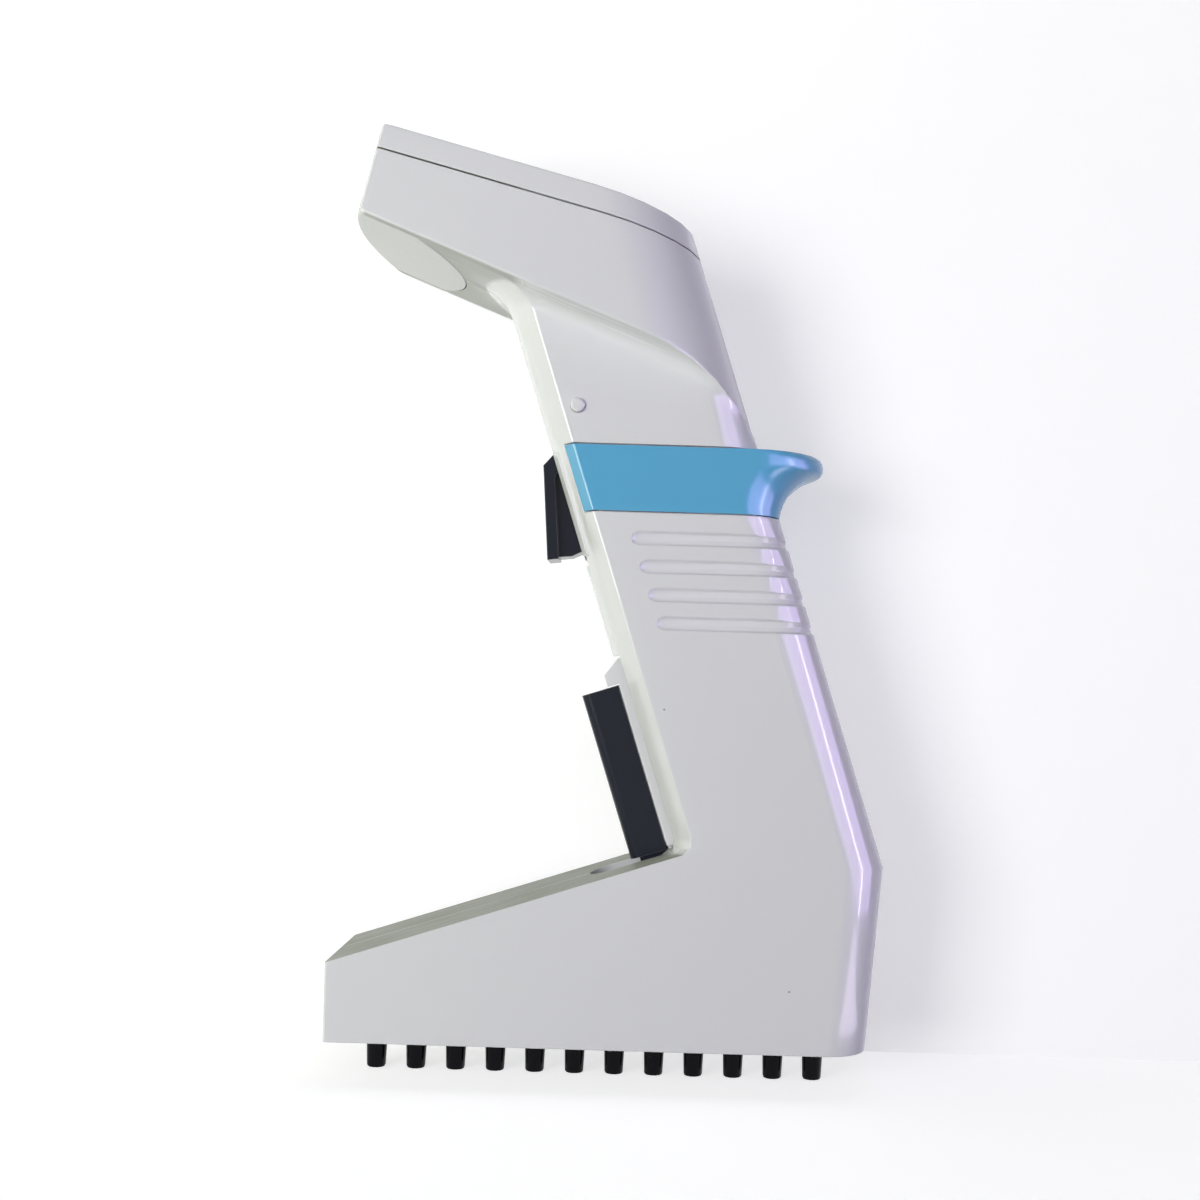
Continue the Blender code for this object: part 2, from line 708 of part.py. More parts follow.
def make_housing():
    halves = [(-1, add("housing_left", skin(outer_rings()), "shell")),
              (1, add("housing_right", skin(outer_rings()), "shell"))]

    hollow = cutter("hollow", skin(inner_rings()))
    channel_keep = cutter("channel keep", prism(
        rectangle(-FAR, CHANNEL_FLOOR_U + WALL, -CHANNEL_HALF_WIDTH - WALL,
                  CHANNEL_HALF_WIDTH + WALL), 0.0, LEVER_TOP_W + CHANNEL_TOP_GAP + WALL), STEM_FRAME)
    shape(hollow, channel_keep)
    eject_x, eject_z = in_stem(EJECT_PIVOT_U, EJECT_PIVOT_W)
    for side, name in ((-1, "left bosses"), (1, "right bosses")):
        shape(hollow, cutter(name, bosses(side, eject_x, eject_z)))

    channel = cutter("lever channel", prism(
        rectangle(-FAR, CHANNEL_FLOOR_U, -CHANNEL_HALF_WIDTH, CHANNEL_HALF_WIDTH),
        GRIP_LOW_W, LEVER_TOP_W + CHANNEL_TOP_GAP), STEM_FRAME)
    passage = cutter("lever passage", prism(
        rectangle(-FAR, SWING_ROOM_U, -LEVER_HALF_WIDTH - LINE_GAP, LEVER_HALF_WIDTH + LINE_GAP),
        GRIP_LOW_W + LINE_GAP, LEVER_TOP_W + LINE_GAP), STEM_FRAME)
    slot_end = SLOT_FRONT_U + SLOT_HALF_WIDTH
    slot_outline = arc((slot_end, 0), SLOT_HALF_WIDTH, 90, 270, 8)
    slot_outline += [(SLOT_BACK_U, -SLOT_HALF_WIDTH), (SLOT_BACK_U, SLOT_HALF_WIDTH)]
    slot = cutter("ramp slot", prism(slot_outline, SLOT_LOW_W, SLOT_HIGH_W), STEM_FRAME)

    rim_level = flat_level(TRIGGER_HIGH_Z)
    rim = cutter("trigger rim", skin([
        stem_ring(rim_level, inset=-RIM_PROUD),
        stem_ring(flat_level(RIM_LOW_Z), inset=-RIM_PROUD)]))
    rim_limit = cutter("trigger rim limit", prism(
        rectangle(-FAR, 0.0, -RIM_HALF_WIDTH, RIM_HALF_WIDTH), RIM_LOW_Z - PAST,
        TRIGGER_HIGH_Z + PAST))
    shape(rim, rim_limit, "INTERSECT")
    opening = cutter("trigger opening", prism(
        rectangle(-FAR, TRIGGER_ROOM_X, -TRIGGER_HALF_WIDTH - LINE_GAP,
                  TRIGGER_HALF_WIDTH + LINE_GAP),
        TRIGGER_LOW_Z - TRIGGER_ROOM_BELOW, TRIGGER_HIGH_Z + TRIGGER_ROOM_ABOVE))

    low = BAND_LOW_Z - GAP
    high = BAND_HIGH_Z + GAP
    band = cutter("band groove", skin([stem_ring(flat_level(high), inset=-PAST),
                                       stem_ring(flat_level(low), inset=-PAST)]))
    hollow_band(band, low, high, BAND_THICKNESS + GAP, BAND_WRAP_Y - GAP)
    grooves = cutter("grip grooves", merge(*[groove(i) for i in range(GROOVE_COUNT)]))
    door = cutter("door opening", door_prism(GAP), UNDER_FRAME)
    base = cutter("base opening", prism(
        rectangle(EJECT_PLATE_FRONT_X - GAP, EJECT_PLATE_BACK_X + GAP,
                  -EJECT_PLATE_HALF_WIDTH - GAP, EJECT_PLATE_HALF_WIDTH + GAP),
        BASE_Z - PAST, BASE_Z + WALL + PAST))
    trigger_hole = cutter("trigger pin hole", prism(
        circle(TRIGGER_PIN_RADIUS + TRIGGER_PIN_FIT, 14, (TRIGGER_PIVOT_X, TRIGGER_PIVOT_Z)),
        -FAR, FAR, "xz"))
    eject_hole = cutter("eject pin hole", prism(
        circle(EJECT_PIN_RADIUS + GAP, 12, (eject_x, eject_z)),
        -INNER_HALF, INNER_HALF, "xz"))

    for side, housing in halves:
        name = housing.name
        room = cutter(f"{name} room", prism(
            rectangle(-BODY_LENGTH, BODY_LENGTH, side * GAP / 2, side * HEAD_WIDTH),
            0.0, HEAD_TOP_Z + PAST))
        shape(housing, rim, "UNION")
        shape(housing, room, "INTERSECT")
        shape(housing, hollow)
        for tool in (channel, passage, slot, opening, band, grooves, door, base,
                     trigger_hole, eject_hole):
            shape(housing, tool)
        shape(housing, cutter(f"{name} screw holes", screw_holes(side)))
        close_slivers(housing)


def screw_spots():
    """x, z and the outside half width of the housing at each housing screw."""
    for u, w in STEM_SCREWS:
        yield (*in_stem(u, w), STEM_HALF)
    z = HEAD_TOP_Z - HEAD_SCREW_DROP
    yield STEM_FRONT + HEAD_SCREW_BACK - SLOPE * z, z, HEAD_WIDTH / 2


def bosses(side, eject_x, eject_z):
    """Screw posts, the ejector's bearing and the shelf under the nozzle plate."""
    wall = INNER_HALF + WALL / 2
    parts = []
    for x, z, outside in screw_spots():
        parts.append(prism(circle(HOUSING_BOSS_RADIUS, 12, (x, z)),
                           side * GAP / 2, side * (outside - WALL / 2), "xz"))
    parts.append(prism(circle(BEARING_RADIUS, 14, (eject_x, eject_z)),
                       side * (INNER_HALF - BEARING_LENGTH), side * wall, "xz"))
    shelf_top = NOZZLE_PLATE_Z - GAP
    parts.append(prism(rectangle(TOE_X + WALL / 2, SHOULDER_X - SHELF_BACK_SET_IN,
                                 BASE_Z + WALL / 2, shelf_top),
                       side * (INNER_HALF - SHELF_WIDTH), side * wall, "xz"))
    return merge(*parts)


def screw_holes(side):
    """Pilot holes on the left half, clearance holes and head recesses on the right."""
    parts = []
    for x, z, outside in screw_spots():
        if side < 0:
            parts.append(prism(circle(HOUSING_SCREW_RADIUS + GAP, 10, (x, z)),
                               PAST, -HOUSING_SCREW_END - GAP, "xz"))
            continue
        seat = outside - HOUSING_SCREW_SEAT
        parts.append(lathe_along_y(((HOUSING_SCREW_RADIUS + GAP, -PAST),
                                    (HOUSING_SCREW_RADIUS + GAP, seat),
                                    (HOUSING_SCREW_HEAD_RADIUS + GAP, seat),
                                    (HOUSING_SCREW_HEAD_RADIUS + GAP, outside + PAST)), x, z))
    return merge(*parts)


def lathe_along_y(profile, x, z, sides=12):
    """Turned body whose axis points along +Y through x, z."""
    bm = lathe(profile, sides)
    bmesh.ops.rotate(bm, verts=bm.verts, matrix=Matrix.Rotation(-math.pi / 2, 3, "X"))
    bmesh.ops.translate(bm, verts=bm.verts, vec=(x, 0, z))
    return bm


def door_prism(growth):
    """Tongue-shaped plate that runs out past the head's front and ends in a wide arc."""
    radius = DOOR_END_RADIUS + growth
    half_width = DOOR_HALF_WIDTH + growth
    turn = math.degrees(math.asin(half_width / radius))
    around = arc((DOOR_LENGTH - DOOR_END_RADIUS, 0), radius, turn, -turn, 12)
    around += [(-DOOR_RUN_OUT, -half_width), (-DOOR_RUN_OUT, half_width)]
    return prism(around, -PAST, WALL + growth)


def make_battery():
    door = add("battery_door", door_prism(0.0), "shell", UNDER_FRAME)
    shape(door, cutter("door limit", skin(outer_rings())), "INTERSECT")
    depth = WALL + 2 * GAP + CELL_RADIUS
    for index in range(2):
        along = FIRST_CELL_START + CELL_RADIUS + index * (2 * CELL_RADIUS + CELL_SPACING)
        frame = UNDER_FRAME @ Matrix.Translation((along, 0, depth))
        cell = prism(circle(CELL_RADIUS, 16), -CELL_HALF_LENGTH, CELL_HALF_LENGTH, "xz")
        add(f"battery_cell_{index + 1}", cell, "cell", frame)
    for side, name in ((-1, "battery_contact_left"), (1, "battery_contact_right")):
        contact = prism(rectangle(CONTACT_START, CONTACT_END, WALL + GAP, CONTACT_HIGH),
                        side * (CELL_HALF_LENGTH + GAP),
                        side * (HEAD_WIDTH / 2 - WALL - GAP), "xz")
        add(name, contact, "steel", UNDER_FRAME)


# Finger hook

def hook_profile():
    """Back of the hook as (x, z) from the band's foot up to its top: a sweep, then the tip."""
    foot = STEM_BACK - SLOPE * BAND_LOW_Z
    sweep_centre = (foot + HOOK_SWEEP_RADIUS, BAND_LOW_Z - HOOK_SWEEP_DROP)
    tip = (foot + HOOK_REACH - HOOK_TIP_RADIUS, BAND_HIGH_Z - HOOK_TIP_RADIUS)
    return ([(foot, BAND_LOW_Z)] + arc(sweep_centre, HOOK_SWEEP_RADIUS, 166, 112, 6)
            + arc(tip, HOOK_TIP_RADIUS, -42, 90, 6))


def make_finger_hook():
    rings = []
    for x, z in reversed(hook_profile()):
        back = x + SLOPE * z
        share = (back - STEM_BACK) / (HOOK_REACH + SLOPE * (BAND_HIGH_Z - BAND_LOW_Z))
        radius = STEM_BACK_RADIUS + (HOOK_PLAN_RADIUS - STEM_BACK_RADIUS) * share
        half = outline(STEM_FRONT, back, STEM_HALF, STEM_FRONT_RADIUS, radius, NOSE_DEPTH)
        rings.append([leaning(ground_x, y, z) for ground_x, y in both_sides(half)])
    hook = add("finger_hook", skin(rings), "hook")
    hollow_band(hook, BAND_LOW_Z, BAND_HIGH_Z, BAND_THICKNESS, BAND_WRAP_Y)


# Lid, display and keys

def make_lid():
    inner = WALL + GAP
    rings = [head_ring(raised(top_level, -LID_DEPTH - LIP_DEPTH), inset=inner),
             head_ring(raised(top_level, -LID_DEPTH + GAP), inset=inner),
             head_ring(raised(top_level, -LID_DEPTH + LINE_GAP)),
             head_ring(raised(top_level, -LID_EDGE)),
             head_ring(raised(top_level, -0.3 * LID_EDGE), inset=0.3 * LID_EDGE),
             head_ring(top_level, inset=LID_EDGE)]
    lid = add("display_cover", skin(rings), "shell")
    wall = inner + LIP_WALL
    hollow = skin([head_ring(raised(top_level, -LID_DEPTH - LIP_DEPTH - PAST), inset=wall),
                   head_ring(raised(top_level, -WALL), inset=wall)])
    inside = cutter("lid hollow", hollow)
    front_y = BOARD_HALF_WIDTH - FRONT_POST_SET_IN
    posts = [prism(circle(BOARD_POST_RADIUS, 10, (along, side * across)),
                   BOARD_TOP + GAP, -WALL / 2)
             for along, across in ((FRONT_POST, front_y), (BACK_POST, BACK_POST_Y))
             for side in (1, -1)]
    shape(inside, cutter("board posts", merge(*posts), LID_FRAME))
    shape(lid, inside)
    openings = [prism(rectangle(WINDOW_START, WINDOW_START + WINDOW_LENGTH,
                                -WINDOW_HALF_WIDTH, WINDOW_HALF_WIDTH), -2 * WALL, PAST)]
    for row in KEY_ROWS:
        for column in KEY_COLUMNS:
            openings.append(prism(key_outline(row, column, GAP), -2 * WALL, PAST))
    shape(lid, cutter("lid openings", merge(*openings), LID_FRAME))
    close_slivers(lid)


def key_outline(row, column, growth):
    """Rounded rectangle round one key, in the lid's frame."""
    radius = KEY_CORNER_RADIUS + growth
    half_a = KEY_LENGTH / 2 + growth - radius
    half_b = KEY_WIDTH / 2 + growth - radius
    points = []
    for sign_a, sign_b, start in ((1, 1, 0), (-1, 1, 90), (-1, -1, 180), (1, -1, 270)):
        points += arc((row + sign_a * half_a, column + sign_b * half_b), radius,
                      start, start + 90, 3)
    return points


def make_display():
    window = prism(rectangle(WINDOW_START + GAP, WINDOW_START + WINDOW_LENGTH - GAP,
                             -WINDOW_HALF_WIDTH + GAP, WINDOW_HALF_WIDTH - GAP), -WALL, -GAP)
    add("display_window", window, "window", LID_FRAME)
    half_width = WINDOW_HALF_WIDTH + PANEL_MARGIN
    panel = prism(rectangle(WINDOW_START - PANEL_MARGIN,
                            WINDOW_START + WINDOW_LENGTH + PANEL_MARGIN,
                            -half_width, half_width), -WALL - GAP - PANEL_THICKNESS, -WALL - GAP)
    add("lcd_panel", panel, "lcd", LID_FRAME)
    half = outline(BOARD_START, BOARD_END, BOARD_HALF_WIDTH, BOARD_FRONT_RADIUS,
                   BOARD_BACK_RADIUS)
    board = prism(both_sides(half), BOARD_TOP - BOARD_THICKNESS, BOARD_TOP)
    add("control_board", board, "board", LID_FRAME)
    number = 0
    for row in KEY_ROWS:
        for column in KEY_COLUMNS:
            number += 1
            frame = LID_FRAME @ Matrix.Translation((row, column, 0))
            cap = add(f"key_{number}", prism(key_outline(0, 0, 0.0), -KEY_STEM, KEY_PROUD),
                      "key", frame)
            flange = cutter(f"key {number} flange", prism(
                key_outline(0, 0, KEY_FLANGE), -WALL - GAP - KEY_FLANGE, -WALL - GAP), frame)
            shape(cap, flange, "UNION")


# Trigger

def make_trigger():
    frame = Matrix.Translation((TRIGGER_PIVOT_X, 0, TRIGGER_PIVOT_Z))
    low = TRIGGER_LOW_Z - TRIGGER_PIVOT_Z
    high = TRIGGER_HIGH_Z - TRIGGER_PIVOT_Z
    front = [(-0.0058, high), (-0.0079, high - 0.0024), (-0.0064, low), (-0.0039, low + 0.0003),
             (-0.0052, high - 0.0052), (-0.0039, high - 0.0010)]
    plate = prism(front, -TRIGGER_HALF_WIDTH, TRIGGER_HALF_WIDTH, "xz")
    trigger = add("trigger", plate, "black", frame)
    body = [(-0.0055, high - 0.0004), (-0.0074, high - 0.0028), (-0.0059, low + 0.0006),
            (-0.0010, low + 0.0011), (0.0019, low + 0.0025), (0.0055, low + 0.0035),
            (0.0048, low + 0.0068), (-0.0004, high - 0.0012)]
    body += arc((0, 0), TRIGGER_HUB_RADIUS, -38, 205, 8)
    body += [(-0.0022, high + 0.0016), (-0.0033, high - 0.0002)]
    web = cutter("trigger web", prism(body, -TRIGGER_WEB_HALF_WIDTH, TRIGGER_WEB_HALF_WIDTH,
                                      "xz"), frame)
    shape(trigger, web, "UNION")
    bore = cutter("trigger bore", prism(circle(TRIGGER_PIN_RADIUS + GAP, 14),
                                        -FAR, FAR, "xz"), frame)
    shape(trigger, bore)

    reach = STEM_HALF + TRIGGER_PIN_PROUD
    chamfer = TRIGGER_PIN_CHAMFER
    pin = ((TRIGGER_PIN_RADIUS - chamfer, -reach), (TRIGGER_PIN_RADIUS, -reach + chamfer),
           (TRIGGER_PIN_RADIUS, reach - chamfer), (TRIGGER_PIN_RADIUS - chamfer, reach))
    add("trigger_pin", lathe(pin, 14), "shell",
        frame @ Matrix.Rotation(-math.pi / 2, 4, "X"))

    upright = frame @ Matrix.Rotation(-math.pi / 2, 4, "X")
    spring = coil(TRIGGER_COIL_RADIUS, TRIGGER_COIL_START_Y,
                  TRIGGER_COIL_START_Y + TRIGGER_COIL_PITCH * TRIGGER_COIL_TURNS,
                  TRIGGER_COIL_TURNS)
    add("trigger_spring", spring, "steel", upright)

    low = BRACKET_W + BRACKET_DEPTH
    switch = prism(rectangle(SWITCH_FRONT_U, SWITCH_BACK_U, -SWITCH_HALF_WIDTH,
                             SWITCH_HALF_WIDTH), low + GAP, low + GAP + SWITCH_HEIGHT)
    piece = add("trigger_switch", switch, "black", STEM_FRAME)
    plunger = cutter("switch plunger", prism(
        rectangle(PLUNGER_FRONT_U, SWITCH_FRONT_U + LINE_GAP, -PLUNGER_HALF_WIDTH,
                  PLUNGER_HALF_WIDTH), low + PLUNGER_LOW, low + PLUNGER_HIGH), STEM_FRAME)
    shape(piece, plunger, "UNION")


# Tip ejector

def make_ejector():
    pivot_x, pivot_z = in_stem(EJECT_PIVOT_U, EJECT_PIVOT_W)
    pivot = Matrix.Translation((pivot_x, 0, pivot_z))
    frame = frame_at(Vector((pivot_x, 0, pivot_z)), STEM_U, STEM_W)

    def at_pivot(points):
        return [(u - EJECT_PIVOT_U, w - EJECT_PIVOT_W) for u, w in points]

    grip_top = GRIP_LOW_W + GRIP_LENGTH
    seat = GRIP_BACK_U + GAP
    horn = GRIP_BACK_U - LEVER_HORN_REACH
    carrier = [(LEVER_BACK_U, LEVER_TOP_W), (LEVER_HORN_U, LEVER_TOP_W),
               (horn, LEVER_TOP_W - LEVER_HORN_DROP), (horn, grip_top + GAP),
               (seat, grip_top + GAP), (seat, LEVER_FOOT_W), (LEVER_BACK_U, LEVER_FOOT_W)]
    lever = add("eject_lever", prism(at_pivot(carrier), -LEVER_HALF_WIDTH, LEVER_HALF_WIDTH, "xz"),
                "shell", frame)
    neck = [(LEVER_BACK_U, NECK_TOP_W), (seat, NECK_TOP_W), (seat, NECK_BEND_W)]
    neck += arc((EJECT_PIVOT_U, EJECT_PIVOT_W), NECK_RADIUS, 205, 335, 6)
    neck_tool = cutter("lever neck", prism(at_pivot(neck), -NECK_HALF_WIDTH, NECK_HALF_WIDTH,
                                           "xz"), frame)
    shape(lever, neck_tool, "UNION")
    reach = EJECT_POST_X - pivot_x
    pad_low = EJECT_POST_TOP_Z + GAP + EJECT_CAP_HEIGHT + GAP - pivot_z
    arm = [(0.0, -ARM_ROOT), (reach - ARM_PAD_HALF_LENGTH, pad_low),
           (reach + ARM_PAD_HALF_LENGTH, pad_low),
           (reach + ARM_PAD_HALF_LENGTH, pad_low + ARM_PAD_DEPTH), (0.0, ARM_ROOT)]
    arm_tool = cutter("lever arm", prism(arm, -ARM_HALF_WIDTH, ARM_HALF_WIDTH, "xz"), pivot)
    shape(lever, arm_tool, "UNION")
    shape(lever, cutter("lever bore", prism(circle(EJECT_PIN_RADIUS + GAP, 12), -FAR, FAR,
                                            "xz"), pivot))

    make_grip(frame)
    half = INNER_HALF - GAP
    add("eject_pin", prism(circle(EJECT_PIN_RADIUS, 12), -half, half, "xz"), "steel", pivot)
    make_eject_plate()


def make_grip(frame):
    """Black finger grip, with a foot that fills the slot in the ramp."""
    corner = GRIP_CORNER_RADIUS
    front = GRIP_FRONT_U - EJECT_PIVOT_U
    back = GRIP_BACK_U - EJECT_PIVOT_U
    low = GRIP_LOW_W - EJECT_PIVOT_W
    half = GRIP_HALF_WIDTH
    around = [(back, -half)]
    around += arc((front + corner, -half + corner), corner, 270, 180, 5)
    around += arc((front + corner, half - corner), corner, 180, 90, 5)
    around += [(back, half)]
    grip = add("eject_grip", prism(around, low, low + GRIP_LENGTH), "black", frame)
    foot_high = GRIP_FOOT_HIGH_W - EJECT_PIVOT_W
    foot_half = GRIP_FOOT_HALF_WIDTH
    root = prism(rectangle(front + corner, back - LINE_GAP, -foot_half, foot_half),
                 foot_high - GRIP_FOOT_DEPTH / 2, low + corner)
    shape(grip, cutter("grip root", root, frame), "UNION")
    tip = SLOT_FRONT_U + GRIP_FOOT_GAP + foot_half - EJECT_PIVOT_U
    sole = arc((tip, 0), foot_half, 90, 270, 8)
    sole += [(back - LINE_GAP, -foot_half), (back - LINE_GAP, foot_half)]
    foot = prism(sole, foot_high - GRIP_FOOT_DEPTH, foot_high)
    shape(grip, cutter("grip foot", foot, frame), "UNION")


def make_eject_plate():
    low = BASE_Z + GAP
    high = low + EJECT_PLATE_DEPTH
    frame = Matrix.Translation((EJECT_POST_X, 0, 0))
    plate = prism(rectangle(EJECT_PLATE_FRONT_X - EJECT_POST_X, EJECT_PLATE_BACK_X - EJECT_POST_X,
                            -EJECT_PLATE_HALF_WIDTH, EJECT_PLATE_HALF_WIDTH), low, high)
    piece = add("eject_plate", plate, "shell", frame)
    pin_x = nozzle_x(0.5) - EJECT_POST_X
    plate_top = NOZZLE_PLATE_Z + NOZZLE_PLATE_DEPTH
    root = (low + high) / 2
    posts = [prism(circle(EJECT_POST_RADIUS, 12), root, EJECT_POST_TOP_Z)]
    for side in (-1, 1):
        posts.append(prism(circle(GUIDE_PIN_RADIUS, 10, (pin_x, side * GUIDE_PIN_Y)),
                           root, plate_top + GUIDE_PIN_PROUD))
    shape(piece, cutter("eject posts", merge(*posts), frame), "UNION")
    holes = [prism(circle(NOZZLE_RADIUS + GAP, 12, (nozzle_x(i) - EJECT_POST_X, 0)),
                   low - PAST, high + PAST) for i in range(NOZZLE_COUNT)]
    shape(piece, cutter("eject plate holes", merge(*holes), frame))
    cap_low = EJECT_POST_TOP_Z + GAP
    cap = lathe(((EJECT_CAP_RADIUS, cap_low), (EJECT_CAP_RADIUS, cap_low + EJECT_CAP_HEIGHT)), 14)
    add("eject_cap", cap, "engineering", frame)
    spring = coil(EJECT_COIL_RADIUS, plate_top + SPRING_WIRE_RADIUS + GAP,
                  EJECT_POST_TOP_Z - SPRING_WIRE_RADIUS, EJECT_COIL_TURNS)
    add("eject_spring", spring, "steel", frame)


# Nozzles, pistons and drive

def make_nozzles():
    plate_top = NOZZLE_PLATE_Z + NOZZLE_PLATE_DEPTH
    front = TOE_X + WALL + GAP
    lean_in = BASE_BACK_SET_IN * (SHOULDER_Z - NOZZLE_PLATE_Z) / (SHOULDER_Z - BASE_Z)
    back = SHOULDER_X - lean_in - WALL - NOZZLE_PLATE_BACK_GAP
    half = outline(front, back, INNER_HALF - GAP, STEM_FRONT_RADIUS, STEM_BACK_RADIUS)
    plate = add("nozzle_plate", prism(both_sides(half), NOZZLE_PLATE_Z, plate_top), "engineering")
    low = NOZZLE_PLATE_Z - PAST
    high = plate_top + PAST
    holes = [prism(circle(NOZZLE_RADIUS + GAP, 12, (nozzle_x(i), 0)), low, high)
             for i in range(NOZZLE_COUNT)]
    holes.append(prism(circle(EJECT_POST_RADIUS + GAP, 12, (EJECT_POST_X, 0)), low, high))
    for side in (-1, 1):
        holes.append(prism(circle(GUIDE_PIN_RADIUS + GAP, 10, (nozzle_x(0.5),
                                                              side * GUIDE_PIN_Y)), low, high))
    shape(plate, cutter("nozzle plate holes", merge(*holes)))

    flange = plate_top + GAP
    flange_top = flange + NOZZLE_FLANGE_DEPTH
    profile = ((NOZZLE_BORE_RADIUS, NOZZLE_BORE_DEPTH), (NOZZLE_BORE_RADIUS, 0.0),
               (NOZZLE_TIP_RADIUS - NOZZLE_TIP_CHAMFER / 2, 0.0),
               (NOZZLE_TIP_RADIUS, NOZZLE_TIP_CHAMFER),
               (NOZZLE_RADIUS, BASE_Z), (NOZZLE_RADIUS, flange),
               (NOZZLE_FLANGE_RADIUS, flange), (NOZZLE_FLANGE_RADIUS, flange_top),
               (NOZZLE_BARB_RADIUS, flange_top), (NOZZLE_BARB_RADIUS, NOZZLE_BARB_TOP))
    shared = None
    for index in range(NOZZLE_COUNT):
        name = f"nozzle_{index + 1:02d}"
        frame = Matrix.Translation((nozzle_x(index), 0, 0))
        if shared is None:
            shared = add(name, lathe(profile, 12), "black", frame).data
            continue
        obj = bpy.data.objects.new(name, shared)
        obj.matrix_world = frame
        bpy.context.collection.objects.link(obj)


def piston_spots():
    """Places of the pistons across the stem, front row first."""
    for row in range(3):
        for column in range(4):
            yield (PISTON_CENTRE_U + (row - 1) * PISTON_PITCH_U, (column - 1.5) * PISTON_PITCH_V)


def stem_plate(name, slot, low, high, front, holes, shrink=0.0):
    """Plate or block that fills the stem's inside, pierced by holes."""
    half = outline(front, INNER_BACK_U - GAP - shrink, INNER_HALF - GAP - shrink,
                   PLATE_CORNER_RADIUS, STEM_BACK_RADIUS)
    piece = add(name, prism(both_sides(half), low, high), slot, STEM_FRAME)
    drills = [prism(circle(radius, sides, spot), low - PAST, high + PAST)
              for radius, sides, spot in holes]
    shape(piece, cutter(f"{name} holes", merge(*drills), STEM_FRAME))
    return piece


def make_drive():
    bores = [(PISTON_RADIUS + PISTON_GAP, 10, spot) for spot in piston_spots()]
    rods = [(ROD_RADIUS + GAP, 10, (PISTON_CENTRE_U + side * ROD_OFFSET_U, 0))
            for side in (-1, 1)]
    stem_plate("cylinder_block", "engineering", BLOCK_LOW_W, BLOCK_HIGH_W, BLOCK_FRONT_U,
               bores + rods)
    stem_plate("seal_plate", "rubber", BLOCK_HIGH_W + GAP, BLOCK_HIGH_W + GAP + SEAL_DEPTH,
               BLOCK_FRONT_U, bores + rods)
    drive_holes = [(ROD_RADIUS + PISTON_GAP, 10, spot) for _, _, spot in rods]
    carrier = stem_plate("piston_plate", "steel", DRIVE_PLATE_LOW_W,
                         DRIVE_PLATE_HIGH_W, BLOCK_FRONT_U + PISTON_GAP,
                         drive_holes, DRIVE_PLATE_SHRINK)
    pistons = [prism(circle(PISTON_RADIUS, 10, spot), PISTON_BOTTOM_W,
                     DRIVE_PLATE_LOW_W + DRIVE_PLATE_DEPTH / 2) for spot in piston_spots()]
    shape(carrier, cutter("pistons", merge(*pistons), STEM_FRAME), "UNION")
    screw_hole = [(SCREW_RADIUS + SCREW_CLEARANCE, 14, (PISTON_CENTRE_U, 0))]
    stem_plate("motor_bracket", "steel", BRACKET_W, BRACKET_W + BRACKET_DEPTH, BRACKET_FRONT_U,
               screw_hole + rods)

    for name, (_, _, spot) in zip(("guide_rod_front", "guide_rod_back"), rods):
        rod = prism(circle(ROD_RADIUS, 10, spot), BLOCK_HIGH_W - ROD_SEAT, BRACKET_W + ROD_PROUD)
        add(name, rod, "steel", STEM_FRAME)
    centre = STEM_FRAME @ Matrix.Translation((PISTON_CENTRE_U, 0, 0))
    low = BRACKET_W + BRACKET_DEPTH + GAP
    bore = SCREW_RADIUS + SCREW_CLEARANCE
    can = ((bore, low), (MOTOR_RADIUS, low), (MOTOR_RADIUS, low + MOTOR_LENGTH),
           (bore, low + MOTOR_LENGTH))
    add("motor", lathe(can, 20, ring=True), "steel", centre)
    start = DRIVE_PLATE_HIGH_W + GAP
    screw = ((SCREW_RADIUS, start), (SCREW_RADIUS, start + SCREW_LENGTH - SCREW_CHAMFER),
             (SCREW_RADIUS - SCREW_CHAMFER, start + SCREW_LENGTH))
    add("lead_screw", lathe(screw, 14), "steel", centre)


def tube_route(index):
    """Points of one air tube from the manifold to its nozzle."""
    row = index // 4
    place = index % 4
    column = (0, 1, 3, 2)[place]
    side = -1 if column < 2 else 1
    lane = side * (LANE_OUTER_Y if column in (0, 3) else LANE_INNER_Y)
    u, v = list(piston_spots())[row * 4 + column]
    start = stem_point(u, v, BLOCK_LOW_W - GAP - 0.0006)
    below = stem_point(u, v, -0.0035)
    target = nozzle_x(index)
    end = NOZZLE_BARB_TOP + 0.0005

    def run_height(x):
        if row == 0:
            return TOE_TOP_Z + SLOPE * (x - TOE_X) - 0.0049
        return (0.0, 0.0335, 0.0300)[row]

    points = [start, below]
    if row == 2:
        points.append((below.x + 0.0008, lane, 0.0500))
        points.append((min(below.x - 0.001, target + 0.004), lane * 0.95, 0.0385))
        points.append((target + 0.0010, lane * 0.45, 0.0290))
    else:
        corner = below.x - 0.001
        turn_z = run_height(corner - 0.010)
        points.append((corner + 0.0006, lane, below.z - 0.0060))
        points.append((corner - 0.0025, lane, turn_z + (0.0022 if row == 0 else 0.0040)))
        points.append((corner - 0.0090, lane, run_height(corner - 0.009)))
        points.append((target + 0.0120, lane, run_height(target + 0.012)))
        points.append((target + 0.0042, lane * 0.55, run_height(target + 0.0042) - 0.0002))
    points.append((target, 0.0, end + 0.0026))
    points.append((target, 0.0, end))
    return points


